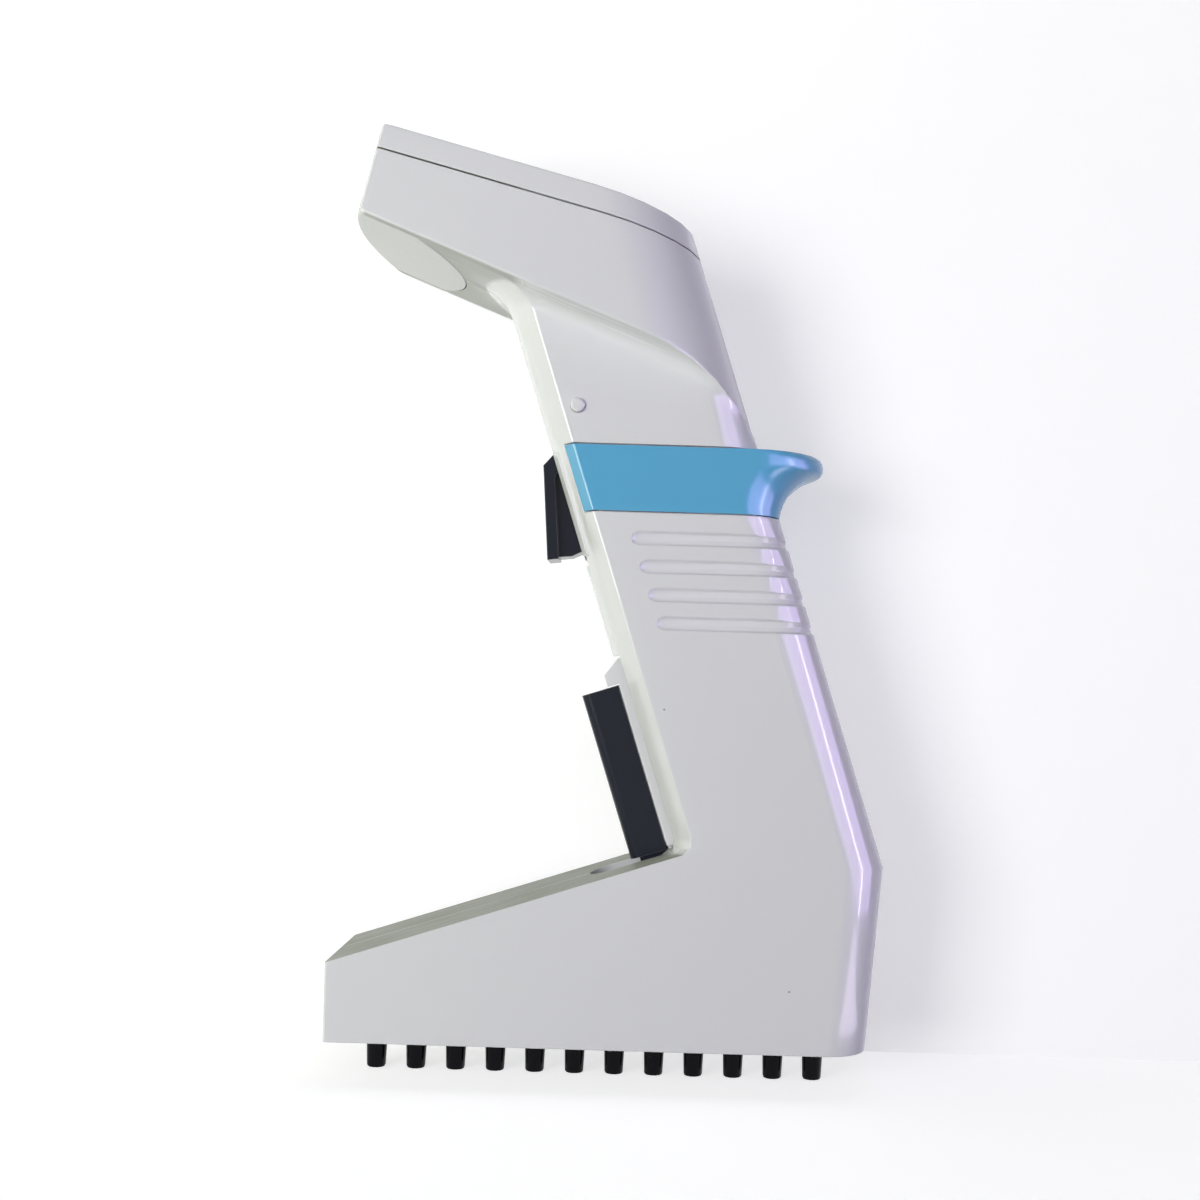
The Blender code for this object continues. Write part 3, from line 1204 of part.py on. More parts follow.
def make_tubes():
    """Manifold under the cylinders with the air tubes that are bonded into it."""
    high = BLOCK_LOW_W - GAP
    half = outline(BLOCK_FRONT_U, INNER_BACK_U - GAP, INNER_HALF - GAP, PLATE_CORNER_RADIUS,
                   STEM_BACK_RADIUS)
    manifold = add("air_manifold", prism(both_sides(half), high - MANIFOLD_DEPTH, high),
                   "tubing", STEM_FRAME)
    tubes = [sweep(smooth_path(tube_route(i), 3), TUBE_RADIUS, 7) for i in range(NOZZLE_COUNT)]
    shape(manifold, cutter("air tubes", merge(*tubes)), "UNION")


def make_screws():
    for number, (x, z, outside) in enumerate(screw_spots(), 1):
        seat = outside - HOUSING_SCREW_SEAT + GAP
        screw = lathe_along_y(((HOUSING_SCREW_RADIUS, -HOUSING_SCREW_END),
                               (HOUSING_SCREW_RADIUS, seat), (HOUSING_SCREW_HEAD_RADIUS, seat),
                               (HOUSING_SCREW_HEAD_RADIUS, seat + HOUSING_SCREW_HEAD_HEIGHT)),
                              x, z)
        add(f"housing_screw_{number}", screw, "steel")


def clear_scene():
    for obj in list(bpy.data.objects):
        bpy.data.objects.remove(obj)


def main():
    clear_scene()
    make_housing()
    make_battery()
    make_finger_hook()
    make_lid()
    make_display()
    make_trigger()
    make_ejector()
    make_nozzles()
    make_drive()
    make_tubes()
    make_screws()


main()
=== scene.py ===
# Visual model of an electronic twelve-channel pipette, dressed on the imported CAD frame.
# Metres throughout. The toe of the nozzle housing points along -X and the camera looks along +Y.

import json
import math

import bmesh
import bpy
from mathutils import Matrix, Vector


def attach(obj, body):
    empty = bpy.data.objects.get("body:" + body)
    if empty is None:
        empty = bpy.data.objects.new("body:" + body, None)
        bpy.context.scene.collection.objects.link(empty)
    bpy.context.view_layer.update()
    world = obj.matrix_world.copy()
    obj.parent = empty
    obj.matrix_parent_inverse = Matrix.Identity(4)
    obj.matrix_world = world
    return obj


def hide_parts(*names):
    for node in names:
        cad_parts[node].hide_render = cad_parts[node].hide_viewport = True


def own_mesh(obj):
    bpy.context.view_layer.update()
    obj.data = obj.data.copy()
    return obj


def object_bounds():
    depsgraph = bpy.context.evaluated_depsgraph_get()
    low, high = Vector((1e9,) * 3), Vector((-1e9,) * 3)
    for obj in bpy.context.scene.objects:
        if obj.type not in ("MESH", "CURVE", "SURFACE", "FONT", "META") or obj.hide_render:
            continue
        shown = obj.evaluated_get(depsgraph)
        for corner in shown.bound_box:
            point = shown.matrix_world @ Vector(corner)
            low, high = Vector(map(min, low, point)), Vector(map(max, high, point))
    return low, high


def report(text):
    print(f"pipette: {text}", flush=True)


# Node helpers, where at is a node's spot in the shader editor

def addNode(tree, kind, at):
    node = tree.nodes.new(kind)
    node.location = at
    return node


def feed(tree, socket, value):
    # A socket takes a link from another node, a colour without its alpha, or a plain value.
    if isinstance(value, bpy.types.NodeSocket):
        tree.links.new(value, socket)
    elif socket.type == "RGBA":
        socket.default_value = (*value, 1.0)
    else:
        socket.default_value = value


def mathNode(tree, operation, at, *values):
    node = addNode(tree, "ShaderNodeMath", at)
    node.operation = operation
    for socket, value in zip(node.inputs, values):
        feed(tree, socket, value)
    return node.outputs[0]


def noise(tree, vector, scale, detail, at):
    node = addNode(tree, "ShaderNodeTexNoise", at)
    feed(tree, node.inputs["Scale"], scale)
    feed(tree, node.inputs["Detail"], detail)
    feed(tree, node.inputs["Vector"], vector)
    return node.outputs[0]


def stretched(tree, vector, scale, turn, at):
    # Coordinates with another scale, then turned about the upright
    node = addNode(tree, "ShaderNodeMapping", at)
    feed(tree, node.inputs["Rotation"], (0.0, 0.0, turn))
    feed(tree, node.inputs["Scale"], scale)
    feed(tree, node.inputs["Vector"], vector)
    return node.outputs["Vector"]


def within(tree, value, limits, at):
    # 0 at the first limit, 1 at the second, and even between them
    node = addNode(tree, "ShaderNodeMapRange", at)
    feed(tree, node.inputs["From Min"], limits[0])
    feed(tree, node.inputs["From Max"], limits[1])
    feed(tree, node.inputs["Value"], value)
    return node.outputs["Result"]


def mix(tree, factor, first, second, at):
    node = addNode(tree, "ShaderNodeMix", at)
    node.data_type = "RGBA"
    feed(tree, node.inputs["Factor"], factor)
    feed(tree, node.inputs["A"], first)
    feed(tree, node.inputs["B"], second)
    return node.outputs["Result"]


def objectPlace(tree, at):
    return addNode(tree, "ShaderNodeTexCoord", at).outputs["Object"]


def axesOf(tree, vector, at):
    node = addNode(tree, "ShaderNodeSeparateXYZ", at)
    feed(tree, node.inputs[0], vector)
    return node.outputs


def surfaceNormal(tree, at):
    return addNode(tree, "ShaderNodeNewGeometry", at).outputs["Normal"]


def newGroup(name, inputs, outputs):
    # Empty node group with typed sockets, and the ends to wire up inside it
    tree = bpy.data.node_groups.new(name, "ShaderNodeTree")
    for label, kind, default in inputs:
        socket = tree.interface.new_socket(name=label, in_out="INPUT", socket_type=kind)
        socket.default_value = default
    for label, kind in outputs:
        tree.interface.new_socket(name=label, in_out="OUTPUT", socket_type=kind)
    start = addNode(tree, "NodeGroupInput", (-1200, 0))
    end = addNode(tree, "NodeGroupOutput", (900, 0))
    return tree, start.outputs, end.inputs


def useGroup(tree, group, at):
    node = addNode(tree, "ShaderNodeGroup", at)
    node.node_tree = group
    return node


# Dust: sparse dark specks on the pale plastic

dust = {
    "cellsPerMetre": 75.0,
    "speckSize": 0.016,  # share of a cell
    "bareCells": 0.80,  # share of the cells that stay clean
}


def makeDust():
    tree, _, end = newGroup("Specks", [], [("Amount", "NodeSocketFloat")])
    cells = addNode(tree, "ShaderNodeTexVoronoi", (-800, 200))
    feed(tree, cells.inputs["Scale"], dust["cellsPerMetre"])
    feed(tree, cells.inputs["Vector"], objectPlace(tree, (-1200, 300)))
    split = addNode(tree, "ShaderNodeSeparateColor", (-600, 0))
    feed(tree, split.inputs["Color"], cells.outputs["Color"])
    near = mathNode(tree, "LESS_THAN", (-400, 200), cells.outputs["Distance"], dust["speckSize"])
    rare = mathNode(tree, "GREATER_THAN", (-400, 0), split.outputs["Red"], dust["bareCells"])
    feed(tree, end["Amount"], mathNode(tree, "MULTIPLY", (-200, 100), near, rare))
    return tree


# Scratches from handling, on faces that look up or down

scratch = {
    "turns": (0.5, -0.9),  # of the noise, in radians; each gives a set of straight scratches
    "stretch": (45.0, 1500.0, 45.0),  # long along the pipette and thin across it
    "straight": (0.735, 0.775),  # higher limits leave fewer
    "curlScale": 150.0,
    "noiseMiddle": 0.5,
    "curl": (0.007, 0.002),  # how near the noise comes to its middle, from none to all
    "patchScale": 70.0,
    "patches": (0.52, 0.60),  # where the curling ones lie
    "level": (0.5, 0.8),  # how level a face is, from none to all
}


def makeScratches():
    tree, _, end = newGroup("Scratches", [], [("Amount", "NodeSocketFloat")])
    place = objectPlace(tree, (-1200, 300))

    # Straight scratches, with one row of nodes for each set
    lines = []
    for index, turn in enumerate(scratch["turns"]):
        row = 300 * index
        along = stretched(tree, place, scratch["stretch"], turn, (-950, row))
        streak = noise(tree, along, 1.0, 0.0, (-700, row))
        lines.append(within(tree, streak, scratch["straight"], (-450, row)))
    straight = mathNode(tree, "MAXIMUM", (-200, 150), *lines)

    # A curling scratch runs where the noise is at its middle value.
    curl = noise(tree, place, scratch["curlScale"], 1.0, (-950, -300))
    away = mathNode(tree, "ABSOLUTE", (-550, -300),
                    mathNode(tree, "SUBTRACT", (-750, -300), curl, scratch["noiseMiddle"]))
    patches = within(tree, noise(tree, place, scratch["patchScale"], 1.0, (-950, -600)),
                     scratch["patches"], (-650, -600))
    curling = mathNode(tree, "MULTIPLY", (-200, -300),
                       within(tree, away, scratch["curl"], (-400, -300)), patches)
    marks = mathNode(tree, "MAXIMUM", (0, 0), straight, curling)

    facing = axesOf(tree, surfaceNormal(tree, (-950, -850)), (-750, -850))
    upright = mathNode(tree, "ABSOLUTE", (-550, -850), facing["Z"])
    level = within(tree, upright, scratch["level"], (-350, -850))
    feed(tree, end["Amount"], mathNode(tree, "MULTIPLY", (200, 0), marks, level))
    return tree


# Faces worn by rubbing: the ramp over the nozzles, which looks up, and the underside of the head,
# which looks down. Handling makes them rougher and less glossy; their darker grey colour is painted
# shade, partly the grey of worn plastic

rubbed_and_shaded = {
    "level": (0.88, 0.94),  # how level a face is, from none to all
    "rampTop": (0.095, 0.090),  # the ramp's faces are below this
    "headBack": (-0.021, -0.024),  # the head's underside is in front of this
    "headFoot": (0.120, 0.130),  # and above this
    "patchScale": 90.0,
    "patches": (0.25, 0.75),
    "patchy": 0.12,  # share that changes from patch to patch
}


def makeRubbedAndShaded():
    tree, _, end = newGroup("Rubbed_and_shaded", [], [("Amount", "NodeSocketFloat")])
    place = objectPlace(tree, (-1200, 300))
    spot = axesOf(tree, place, (-900, 200))
    facing = axesOf(tree, surfaceNormal(tree, (-900, -100)), (-700, -100))
    # Level faces on the ramp look up and those under the head look down; the darker colour they get
    # below is painted shade
    up = mathNode(tree, "MULTIPLY", (-200, 100),
                  within(tree, facing["Z"], rubbed_and_shaded["level"], (-450, 0)),
                  within(tree, spot["Z"], rubbed_and_shaded["rampTop"], (-650, 200)))
    front = mathNode(tree, "MULTIPLY", (-450, -250),
                     within(tree, spot["X"], rubbed_and_shaded["headBack"], (-650, -250)),
                     within(tree, spot["Z"], rubbed_and_shaded["headFoot"], (-650, -450)))
    downward = [-limit for limit in rubbed_and_shaded["level"]]
    down = mathNode(tree, "MULTIPLY", (-200, -250),
                    within(tree, facing["Z"], downward, (-450, -450)), front)
    either = mathNode(tree, "MAXIMUM", (0, 0), up, down)
    patches = within(tree, noise(tree, place, rubbed_and_shaded["patchScale"], 2.0, (-900, -700)),
                     rubbed_and_shaded["patches"], (-650, -700))
    patchy = mathNode(tree, "MULTIPLY_ADD", (150, -200), patches, rubbed_and_shaded["patchy"],
                      1.0 - rubbed_and_shaded["patchy"])
    feed(tree, end["Amount"], mathNode(tree, "MULTIPLY", (350, 0), either, patchy))
    return tree


# Moulded plastic: slight drift of colour, fine pits, dust, scratches, worn edges, and faces worn by
# rubbing that are painted darker as shade

moulded = {
    "noiseRange": (0.2, 0.8),  # where the noise of drift and smears begins and ends
    "driftScale": 14.0,
    # darker grey for the faces worn by rubbing: painted shade, partly the grey of worn plastic
    "rubbedShadeColour": (0.28, 0.29, 0.25),
    "edgeColour": (0.90, 0.90, 0.90),
    "markColour": (0.90, 0.92, 0.88),
    "edgeSamples": 6,
    "edgeTurn": (0.995, 0.90),  # cosine between the flat face and its rounded edge, bare to worn
    "edgeWear": (0.12, 0.60),  # on clean faces, and what rubbed ones add
    "markWear": (0.50, 0.10),  # on clean faces, and what rubbed ones add
    "smearScale": 40.0,
    "smear": 0.06,  # what smears add to the roughness
    "rubbedRough": 0.35,  # what rubbing adds to it
    "markRough": 0.20,  # what scratches add to it
    "rubbedGloss": 0.90,  # share of the coat that rubbing takes away
    "pitScale": 5200.0,
    "markDepth": 0.4,  # against a pit's 1
    "bumpStrength": 0.6,
    "bumpDepth": 0.00006,
}


def makeMoulded(dustGroup, scratchGroup, rubbedAndShadedGroup):
    tree, start, end = newGroup("Moulded plastic", [
        ("Colour", "NodeSocketColor", (0.7, 0.7, 0.7, 1.0)),
        ("Shade", "NodeSocketColor", (0.6, 0.6, 0.6, 1.0)),
        ("Speck colour", "NodeSocketColor", (0.12, 0.11, 0.10, 1.0)),
        ("Specks", "NodeSocketFloat", 0.0),
        ("Scratches", "NodeSocketFloat", 0.0),
        ("Grain", "NodeSocketFloat", 0.05),
        ("Edge", "NodeSocketFloat", 0.0003),
        ("Roughness", "NodeSocketFloat", 0.3),
        ("Rubbed_and_shaded", "NodeSocketFloat", 0.0),
    ], [
        ("Colour", "NodeSocketColor"),
        ("Roughness", "NodeSocketFloat"),
        ("Gloss", "NodeSocketFloat"),
        ("Normal", "NodeSocketVector"),
    ])
    place = objectPlace(tree, (-1200, 300))

    # Colour
    drift = within(tree, noise(tree, place, moulded["driftScale"], 1.0, (-900, 400)),
                   moulded["noiseRange"], (-650, 400))
    base = mix(tree, drift, start["Colour"], start["Shade"], (-400, 400))
    dusty = mathNode(tree, "MULTIPLY", (-400, 150),
                     useGroup(tree, dustGroup, (-650, 150)).outputs[0], start["Specks"])
    speckled = mix(tree, dusty, base, start["Speck colour"], (-150, 350))
    marks = mathNode(tree, "MULTIPLY", (-400, -50),
                     useGroup(tree, scratchGroup, (-650, -50)).outputs[0], start["Scratches"])
    # Faces worn by rubbing turn rougher and less glossy, and darker grey as painted shade
    rubbedShade = mathNode(tree, "MULTIPLY", (-400, 650),
                    useGroup(tree, rubbedAndShadedGroup, (-650, 650)).outputs[0], start["Rubbed_and_shaded"])
    withRubbedShade = mix(tree, rubbedShade, speckled, moulded["rubbedShadeColour"], (50, 400))

    # Worn edges, where a rounded normal leaves the flat one
    rounded = addNode(tree, "ShaderNodeBevel", (-650, -500))
    rounded.samples = moulded["edgeSamples"]
    feed(tree, rounded.inputs["Radius"], start["Edge"])
    facing = addNode(tree, "ShaderNodeVectorMath", (-400, -600))
    facing.operation = "DOT_PRODUCT"
    feed(tree, facing.inputs[0], rounded.outputs["Normal"])
    feed(tree, facing.inputs[1], surfaceNormal(tree, (-650, -700)))
    worn = within(tree, facing.outputs["Value"], moulded["edgeTurn"], (-150, -600))
    clean, extra = moulded["edgeWear"]
    edgeShare = mathNode(tree, "MULTIPLY_ADD", (-150, 650), rubbedShade, extra, clean)
    edges = mathNode(tree, "MULTIPLY", (50, -500), worn, edgeShare)
    lighter = mix(tree, edges, withRubbedShade, moulded["edgeColour"], (200, 300))
    clean, extra = moulded["markWear"]
    markShare = mathNode(tree, "MULTIPLY_ADD", (-150, 800), rubbedShade, extra, clean)
    shownMarks = mathNode(tree, "MULTIPLY", (-150, 0), marks, markShare)
    feed(tree, end["Colour"], mix(tree, shownMarks, lighter, moulded["markColour"], (350, 250)))

    # Roughness and gloss
    smears = within(tree, noise(tree, place, moulded["smearScale"], 2.0, (-900, -200)),
                    moulded["noiseRange"], (-650, -250))
    spread = mathNode(tree, "MULTIPLY", (-400, -250), smears, moulded["smear"])
    rough = mathNode(tree, "ADD", (-150, -250), start["Roughness"], spread)
    rough = mathNode(tree, "MULTIPLY_ADD", (-50, -350), rubbedShade, moulded["rubbedRough"], rough)
    rougher = mathNode(tree, "MULTIPLY", (-150, -150), marks, moulded["markRough"])
    feed(tree, end["Roughness"], mathNode(tree, "ADD", (50, -250), rough, rougher))
    gloss = mathNode(tree, "MULTIPLY_ADD", (250, -350), rubbedShade, -moulded["rubbedGloss"], 1.0)
    feed(tree, end["Gloss"], gloss)

    # Pits and scratches as relief
    pits = mathNode(tree, "MULTIPLY", (-650, -900),
                    noise(tree, place, moulded["pitScale"], 2.0, (-900, -900)), start["Grain"])
    cuts = mathNode(tree, "MULTIPLY", (-650, -1050), marks, moulded["markDepth"])
    bump = addNode(tree, "ShaderNodeBump", (-100, -850))
    feed(tree, bump.inputs["Strength"], moulded["bumpStrength"])
    feed(tree, bump.inputs["Distance"], moulded["bumpDepth"])
    feed(tree, bump.inputs["Height"], mathNode(tree, "SUBTRACT", (-400, -900), pits, cuts))
    feed(tree, bump.inputs["Normal"], rounded.outputs["Normal"])
    feed(tree, end["Normal"], bump.outputs["Normal"])
    return tree


# Finish of each kind of piece. What a finish doesn't give comes from plainFinish.

plainFinish = {
    "specks": 0.0,
    "scratches": 0.0,
    "grain": 0.05,
    "edge": 0.0003,  # radius of the softened edges
    "coat": 0.0,
    "coatRoughness": 0.06,
    "specular": 0.5,
    "rubbed_and_shaded": 0.0,
}

shellFinish = {
    "name": "grey shell",
    "colour": (0.658, 0.660, 0.684),
    "shade": (0.638, 0.641, 0.668),
    "roughness": 0.20,
    "specks": 0.8,
    "scratches": 0.35,
    "grain": 0.08,
    "edge": 0.0004,
    "coat": 0.5,
    "specular": 0.3,
    # faces worn by rubbing, with painted shade
    "rubbed_and_shaded": 1.0,
}

doorFinish = {
    "name": "scratched shell",
    "colour": shellFinish["colour"],
    "shade": shellFinish["shade"],
    "roughness": 0.34,
    "specks": 0.4,
    "scratches": 0.8,
    "grain": 0.15,
}

hookFinish = {
    "name": "blue hook",
    "colour": (0.062, 0.350, 0.590),
    "shade": (0.055, 0.330, 0.565),
    "roughness": 0.22,
    "grain": 0.06,
    "coat": 0.2,
}

gripFinish = {
    "name": "black plastic",
    "colour": (0.007, 0.009, 0.018),
    "shade": (0.010, 0.012, 0.022),
    "roughness": 0.15,
    "grain": 0.04,
    "specular": 0.20,
}

nozzleFinish = {
    "name": "black nozzle",
    "colour": (0.002, 0.002, 0.004),
    "shade": (0.003, 0.003, 0.005),
    "roughness": 0.12,
    "grain": 0.03,
    "edge": 0.0002,
    "coat": 0.03,
    "specular": 0.10,
}

keyFinish = {
    "name": "grey keys",
    "colour": (0.26, 0.28, 0.32),
    "shade": (0.22, 0.24, 0.28),
    "roughness": 0.38,
    "grain": 0.2,
    "edge": 0.0005,
}

windowFinish = {
    "name": "dark window",
    "colour": (0.020, 0.025, 0.022),
    "shade": (0.020, 0.025, 0.022),
    "roughness": 0.06,
    "grain": 0.0,
    "coat": 0.5,
}

displayFinish = {
    "name": "display panel",
    "colour": (0.42, 0.47, 0.38),
    "shade": (0.38, 0.43, 0.34),
    "roughness": 0.25,
    "grain": 0.02,
}

boardFinish = {
    "name": "circuit board",
    "colour": (0.03, 0.22, 0.10),
    "shade": (0.02, 0.18, 0.08),
    "roughness": 0.4,
    "grain": 0.3,
}

blockFinish = {
    "name": "engineering plastic",
    "colour": (0.60, 0.60, 0.56),
    "shade": (0.55, 0.55, 0.51),
    "roughness": 0.42,
    "grain": 0.2,
}

sealFinish = {
    "name": "seal rubber",
    "colour": (0.04, 0.04, 0.04),
    "shade": (0.03, 0.03, 0.03),
    "roughness": 0.7,
    "grain": 0.4,
}

tubeFinish = {
    "name": "tubing",
    "colour": (0.72, 0.75, 0.75),
    "shade": (0.68, 0.71, 0.71),
    "roughness": 0.3,
}

cellFinish = {
    "name": "cell sleeve",
    "colour": (0.10, 0.25, 0.18),
    "shade": (0.08, 0.21, 0.15),
    "roughness": 0.3,
}

steelFinish = {
    "name": "machined steel",
    "colour": (0.62, 0.62, 0.64),
    "darkLines": 0.8,  # share of the colour in the dark lines
    "roughness": 0.3,
    "lineRoughness": 0.2,
    "lineStretch": (120.0, 120.0, 4000.0),
}


def mouldedMaterial(group, finish):
    look = {**plainFinish, **finish}
    made = bpy.data.materials.new(look["name"])
    made.use_nodes = True
    tree = made.node_tree
    shader = tree.nodes["Principled BSDF"]
    surface = useGroup(tree, group, (-300, 200))
    for label in ("Colour", "Shade", "Roughness", "Specks", "Scratches", "Grain", "Edge", "Rubbed_and_shaded"):
        feed(tree, surface.inputs[label], look[label.lower()])
    feed(tree, shader.inputs["Base Color"], surface.outputs["Colour"])
    feed(tree, shader.inputs["Roughness"], surface.outputs["Roughness"])
    feed(tree, shader.inputs["Normal"], surface.outputs["Normal"])
    coat = look["coat"]
    if look["rubbed_and_shaded"]:
        coat = mathNode(tree, "MULTIPLY", (-150, -300), surface.outputs["Gloss"], coat)
    feed(tree, shader.inputs["Coat Weight"], coat)
    feed(tree, shader.inputs["Coat Roughness"], look["coatRoughness"])
    feed(tree, shader.inputs["Specular IOR Level"], look["specular"])
    return made


def steelMaterial(finish):
    # Turned or rolled steel with fine lines
    made = bpy.data.materials.new(finish["name"])
    made.use_nodes = True
    tree = made.node_tree
    shader = tree.nodes["Principled BSDF"]
    along = stretched(tree, objectPlace(tree, (-1100, 0)), finish["lineStretch"], 0.0, (-900, 0))
    lines = noise(tree, along, 1.0, 2.0, (-700, 0))
    dark = tuple(part * finish["darkLines"] for part in finish["colour"])
    smoothest = finish["roughness"] - finish["lineRoughness"] / 2
    feed(tree, shader.inputs["Metallic"], 1.0)
    feed(tree, shader.inputs["Base Color"], mix(tree, lines, finish["colour"], dark, (-400, 200)))
    feed(tree, shader.inputs["Roughness"],
         mathNode(tree, "MULTIPLY_ADD", (-400, -100), lines, finish["lineRoughness"], smoothest))
    return made


def makeMaterials():
    group = makeMoulded(makeDust(), makeScratches(), makeRubbedAndShaded())
    finishes = {
        "shell": shellFinish,
        "door": doorFinish,
        "hook": hookFinish,
        "black": gripFinish,
        "nozzle": nozzleFinish,
        "key": keyFinish,
        "window": windowFinish,
        "lcd": displayFinish,
        "board": boardFinish,
        "engineering": blockFinish,
        "rubber": sealFinish,
        "tubing": tubeFinish,
        "cell": cellFinish,
    }
    materials = {name: mouldedMaterial(group, finish) for name, finish in finishes.items()}
    materials["steel"] = steelMaterial(steelFinish)
    return materials


# Pieces made from the CAD nodes

dressing = {
    "jointDistance": 0.000002,  # points nearer than this are joined
    "sharpAngle": 35,  # degrees; a steeper edge stays sharp
    "shadingWeight": 95,  # how far large faces rule the shading
    "ownFinish": {"battery_door": "door", "nozzle": "nozzle"},  # others take their slot's finish
}


def smoothCurvedFaces(mesh):
    bm = bmesh.new()
    bm.from_mesh(mesh)
    bmesh.ops.remove_doubles(bm, verts=bm.verts, dist=dressing["jointDistance"])
    limit = math.radians(dressing["sharpAngle"])
    for face in bm.faces:
        face.smooth = True
    for edge in bm.edges:
        edge.smooth = len(edge.link_faces) == 2 and edge.calc_face_angle() < limit
    bm.to_mesh(mesh)
    bm.free()
    imported = mesh.attributes.get("custom_normal")
    if imported:
        mesh.attributes.remove(imported)


def dressNode(frame, node, material, body):
    # A finished copy of the CAD node takes its place.
    mesh = frame["nodes"][node].data.copy()
    smoothCurvedFaces(mesh)
    mesh.materials.clear()
    mesh.materials.append(material)
    piece = bpy.data.objects.new(f"{node}_finished", mesh)
    bpy.context.scene.collection.objects.link(piece)
    weighted = piece.modifiers.new("even shading", "WEIGHTED_NORMAL")
    weighted.keep_sharp = True
    weighted.weight = dressing["shadingWeight"]
    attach(piece, body)
    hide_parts(node)
    return piece


def squashEjectSpring(piece):
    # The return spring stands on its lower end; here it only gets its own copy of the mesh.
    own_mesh(piece)


def dressPipette(frame, materials):
    slots = {part["node"]: part["material_slot"] for part in frame["record"]["subparts"]}
    for body, nodes in frame["record"]["behaviour"]["bodies"].items():
        for node in nodes:
            kind = node.rstrip("0123456789_")  # nozzle_01 is a nozzle
            finish = dressing["ownFinish"].get(kind, slots[node])
            piece = dressNode(frame, node, materials[finish], body)
            if node == "eject_spring":
                squashEjectSpring(piece)


# Camera, matched to the photograph

viewpoint = {
    "place": (0.0078, -0.348, 0.0913),
    "roll": 1.7,  # degrees
    "shift": (-0.0417, 0.0600),
    "lens": 45.87,  # millimetres
    "sensor": 36.0,
    "nearest": 0.01,
}


def makeCamera():
    lens = bpy.data.cameras.new("camera")
    lens.lens = viewpoint["lens"]
    lens.sensor_width = viewpoint["sensor"]
    lens.clip_start = viewpoint["nearest"]
    lens.shift_x, lens.shift_y = viewpoint["shift"]
    camera = bpy.data.objects.new("camera", lens)
    camera.matrix_world = (Matrix.Translation(viewpoint["place"])
                           @ Matrix.Rotation(math.pi / 2, 4, "X")
                           @ Matrix.Rotation(math.radians(viewpoint["roll"]), 4, "Z"))
    bpy.context.scene.collection.objects.link(camera)
    bpy.context.scene.camera = camera


# Floor and backdrop: white surfaces that keep soft shadows and are clear from behind

studio = {
    "size": 2.4,
    "wallGap": 0.0015,  # between the object and the backdrop
    "colour": (0.62, 0.62, 0.63),
    "floorGlow": 0.69,
    "backdropGlow": 0.485,
}


def paleMaterial(name, glowStrength):
    made = bpy.data.materials.new(name)
    made.use_nodes = True
    tree = made.node_tree
    tree.nodes.clear()
    diffuse = addNode(tree, "ShaderNodeBsdfDiffuse", (0, 0))
    feed(tree, diffuse.inputs["Color"], studio["colour"])

    # The glow shows directly, in reflections and through clear pieces, and lights nothing.
    path = addNode(tree, "ShaderNodeLightPath", (-500, -200))
    seen = mathNode(tree, "MAXIMUM", (-300, -200), path.outputs["Is Camera Ray"],
                    path.outputs["Is Glossy Ray"])
    seen = mathNode(tree, "MAXIMUM", (-150, -200), seen, path.outputs["Is Transmission Ray"])
    glow = addNode(tree, "ShaderNodeEmission", (0, -150))
    feed(tree, glow.inputs["Color"], (1.0, 1.0, 1.0))
    feed(tree, glow.inputs["Strength"], mathNode(tree, "MULTIPLY", (-20, -300), seen, glowStrength))
    total = addNode(tree, "ShaderNodeAddShader", (250, 0))
    feed(tree, total.inputs[0], diffuse.outputs[0])
    feed(tree, total.inputs[1], glow.outputs[0])

    clear = addNode(tree, "ShaderNodeBsdfTransparent", (250, -200))
    geometry = addNode(tree, "ShaderNodeNewGeometry", (0, 300))
    choose = addNode(tree, "ShaderNodeMixShader", (480, 0))
    feed(tree, choose.inputs[0], geometry.outputs["Backfacing"])
    feed(tree, choose.inputs[1], total.outputs[0])
    feed(tree, choose.inputs[2], clear.outputs[0])
    out = addNode(tree, "ShaderNodeOutputMaterial", (700, 0))
    feed(tree, out.inputs["Surface"], choose.outputs[0])
    return made


def stagePlane(name, corners, material):
    mesh = bpy.data.meshes.new(name)
    mesh.from_pydata(corners, [], [tuple(range(len(corners)))])
    mesh.materials.append(material)
    plane = bpy.data.objects.new(name, mesh)
    bpy.context.scene.collection.objects.link(plane)


def makeStage():
    reach = studio["size"] / 2
    _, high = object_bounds()
    wall = high[1] + studio["wallGap"]
    stagePlane("floor", [(-reach, -reach, 0.0), (reach, -reach, 0.0),
                         (reach, reach, 0.0), (-reach, reach, 0.0)],
               paleMaterial("pale floor", studio["floorGlow"]))
    stagePlane("backdrop", [(-reach, wall, 0.0), (reach, wall, 0.0),
                            (reach, wall, reach), (-reach, wall, reach)],
               paleMaterial("pale backdrop", studio["backdropGlow"]))


# Lamps: a key and a lime one at the left, violet panels that the shell reflects at the right

pipetteMiddle = (0.0, 0.0, 0.10)
pipetteFoot = (0.04, 0.0, 0.05)

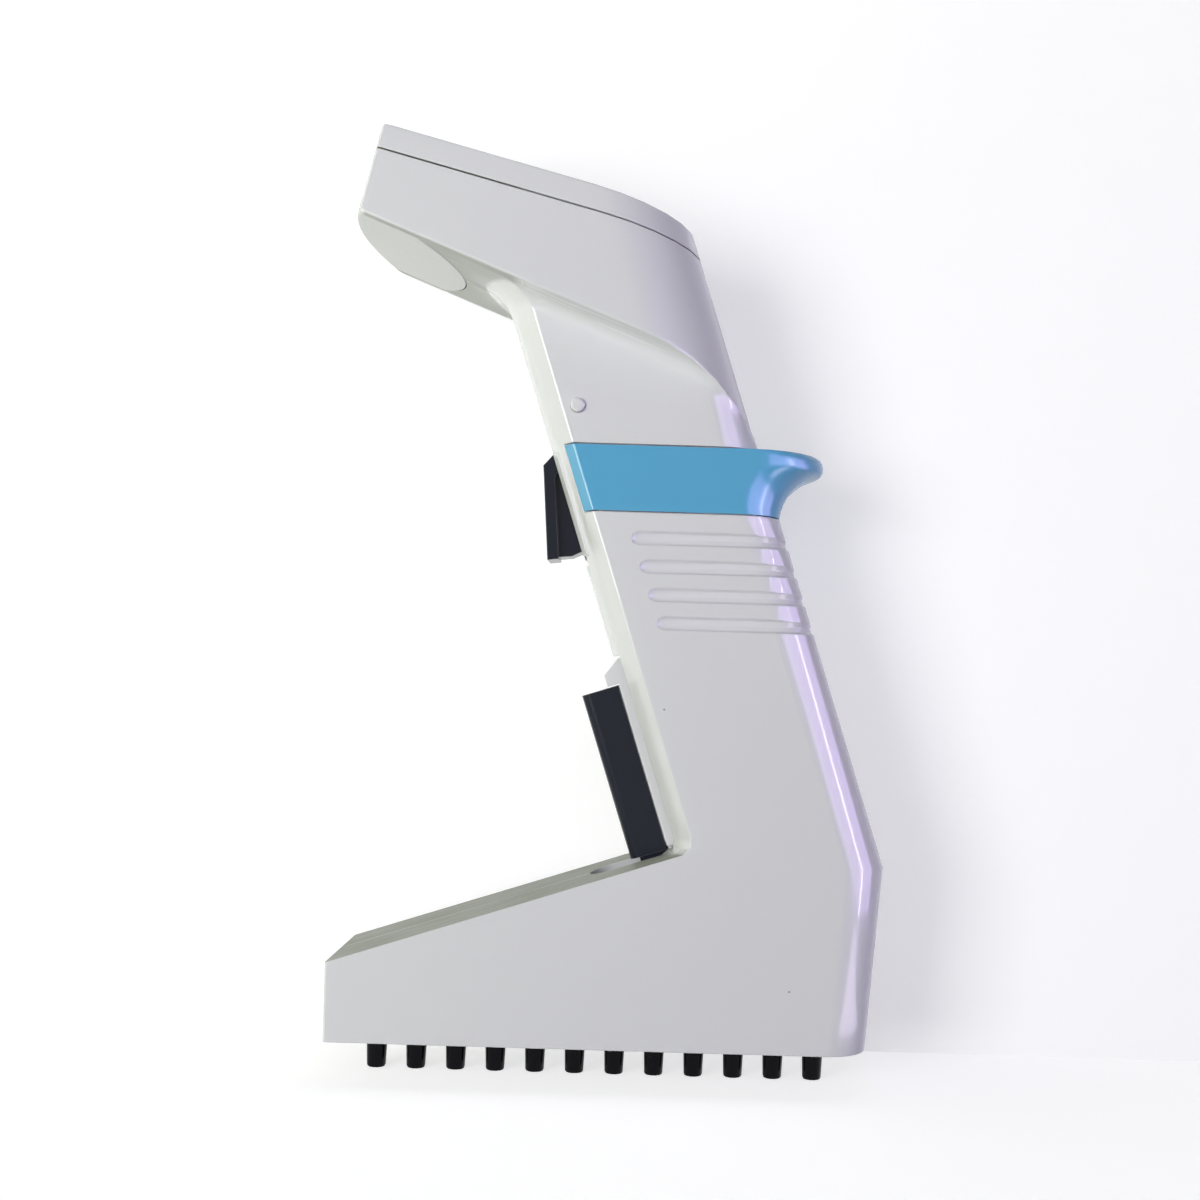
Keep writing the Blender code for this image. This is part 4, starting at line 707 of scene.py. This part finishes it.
# Power is in watts. "off" names the rays that don't meet the lamp, beside the camera's.
lamps = {
    "key": {
        "place": (-0.55, -0.80, 0.16), "aim": pipetteMiddle, "size": (0.4, 0.4),
        "power": 6.6, "colour": (1.0, 1.0, 0.99), "off": [],
    },
    "front": {
        "place": (-0.02, -1.1, 0.10), "aim": pipetteMiddle, "size": (0.9, 0.9),
        "power": 1.9, "colour": (0.97, 0.95, 1.0), "off": ["glossy"],
    },
    "lavender": {
        "place": (0.50, -0.26, 0.15), "aim": pipetteFoot, "size": (0.80, 0.45),
        "power": 7.0, "colour": (0.66, 0.49, 1.0), "off": ["diffuse"],
    },
    "strip": {
        "place": (0.46, -0.24, 0.12), "aim": pipetteFoot, "size": (0.03, 0.40),
        "power": 0.8, "colour": (0.86, 0.78, 1.0), "off": ["diffuse"],
    },
    "low sheet": {
        "place": (0.185, -0.109, 0.003), "aim": (0.177, -0.103, 2.0), "size": (0.06, 0.24),
        "power": 0.26, "colour": (0.88, 0.74, 1.0), "off": ["diffuse"],
    },
    "violet fill": {
        "place": (0.35, -0.60, 0.04), "aim": pipetteFoot, "size": (0.3, 0.3),
        "power": 0.3, "colour": (0.66, 0.55, 1.0), "off": ["glossy"],
    },
    "violet rim": {
        "place": (0.90, 0.00, 0.06), "aim": pipetteMiddle, "size": (0.20, 0.40),
        "power": 3.4, "colour": (0.62, 0.48, 1.0), "off": ["glossy"],
    },
    "lime": {
        "place": (-0.55, -0.10, 0.06), "aim": pipetteMiddle, "size": (0.16, 0.25),
        "power": 0.82, "colour": (0.84, 1.0, 0.46), "off": [],
    },
}


def makeLamp(name, look):
    light = bpy.data.lights.new(name, "AREA")
    light.shape = "RECTANGLE"
    light.size, light.size_y = look["size"]
    light.energy = look["power"]
    light.color = look["colour"]
    lamp = bpy.data.objects.new(name, light)
    place = Vector(look["place"])
    turn = (Vector(look["aim"]) - place).to_track_quat("-Z", "Y")
    lamp.matrix_world = Matrix.Translation(place) @ turn.to_matrix().to_4x4()
    lamp.visible_camera = False
    lamp.visible_glossy = "glossy" not in look["off"]
    lamp.visible_diffuse = "diffuse" not in look["off"]
    bpy.context.scene.collection.objects.link(lamp)


def makeLamps():
    for name, look in lamps.items():
        makeLamp(name, look)


# Room: white where it is seen or reflected; as a light, pale at the sides and dim overhead

room = {
    "sides": 0.34,
    "overhead": 0.06,
    "rise": (0.05, 0.60),  # height of the direction, from the sides' light to the overhead one
}


def makeWorld():
    world = bpy.data.worlds.new("pale room")
    bpy.context.scene.world = world
    world.use_nodes = True
    tree = world.node_tree
    background = tree.nodes["Background"]
    feed(tree, background.inputs["Color"], (1.0, 1.0, 1.0))
    direction = addNode(tree, "ShaderNodeTexCoord", (-1200, -200)).outputs["Generated"]
    upward = axesOf(tree, direction, (-1000, -200))["Z"]
    height = addNode(tree, "ShaderNodeMapRange", (-800, -200))
    feed(tree, height.inputs["Value"], upward)
    feed(tree, height.inputs["From Min"], room["rise"][0])
    feed(tree, height.inputs["From Max"], room["rise"][1])
    feed(tree, height.inputs["To Min"], room["sides"])
    feed(tree, height.inputs["To Max"], room["overhead"])
    path = addNode(tree, "ShaderNodeLightPath", (-800, 150))
    seen = mathNode(tree, "MAXIMUM", (-550, 150), path.outputs["Is Camera Ray"],
                    path.outputs["Is Transmission Ray"])
    seen = mathNode(tree, "MAXIMUM", (-400, 150), seen, path.outputs["Is Glossy Ray"])
    feed(tree, background.inputs["Strength"],
         mathNode(tree, "MAXIMUM", (-250, 0), seen, height.outputs["Result"]))


def saveSizes():
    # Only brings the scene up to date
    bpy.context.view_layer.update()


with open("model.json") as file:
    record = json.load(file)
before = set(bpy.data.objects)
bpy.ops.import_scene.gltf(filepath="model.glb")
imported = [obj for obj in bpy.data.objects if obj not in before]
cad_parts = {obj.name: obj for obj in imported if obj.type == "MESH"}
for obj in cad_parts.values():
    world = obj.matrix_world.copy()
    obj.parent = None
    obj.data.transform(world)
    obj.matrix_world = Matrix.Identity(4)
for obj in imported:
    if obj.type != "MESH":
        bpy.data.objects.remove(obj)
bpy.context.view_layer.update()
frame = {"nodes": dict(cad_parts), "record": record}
report("frame loaded")
makeCamera()
report("camera placed")
materials = makeMaterials()
report("finishes made")
dressPipette(frame, materials)
report("pieces dressed")
makeStage()
makeLamps()
makeWorld()
bpy.context.scene.view_settings.view_transform = "Standard"
report("stage, lamps and room made")
saveSizes()
report("sizes written")
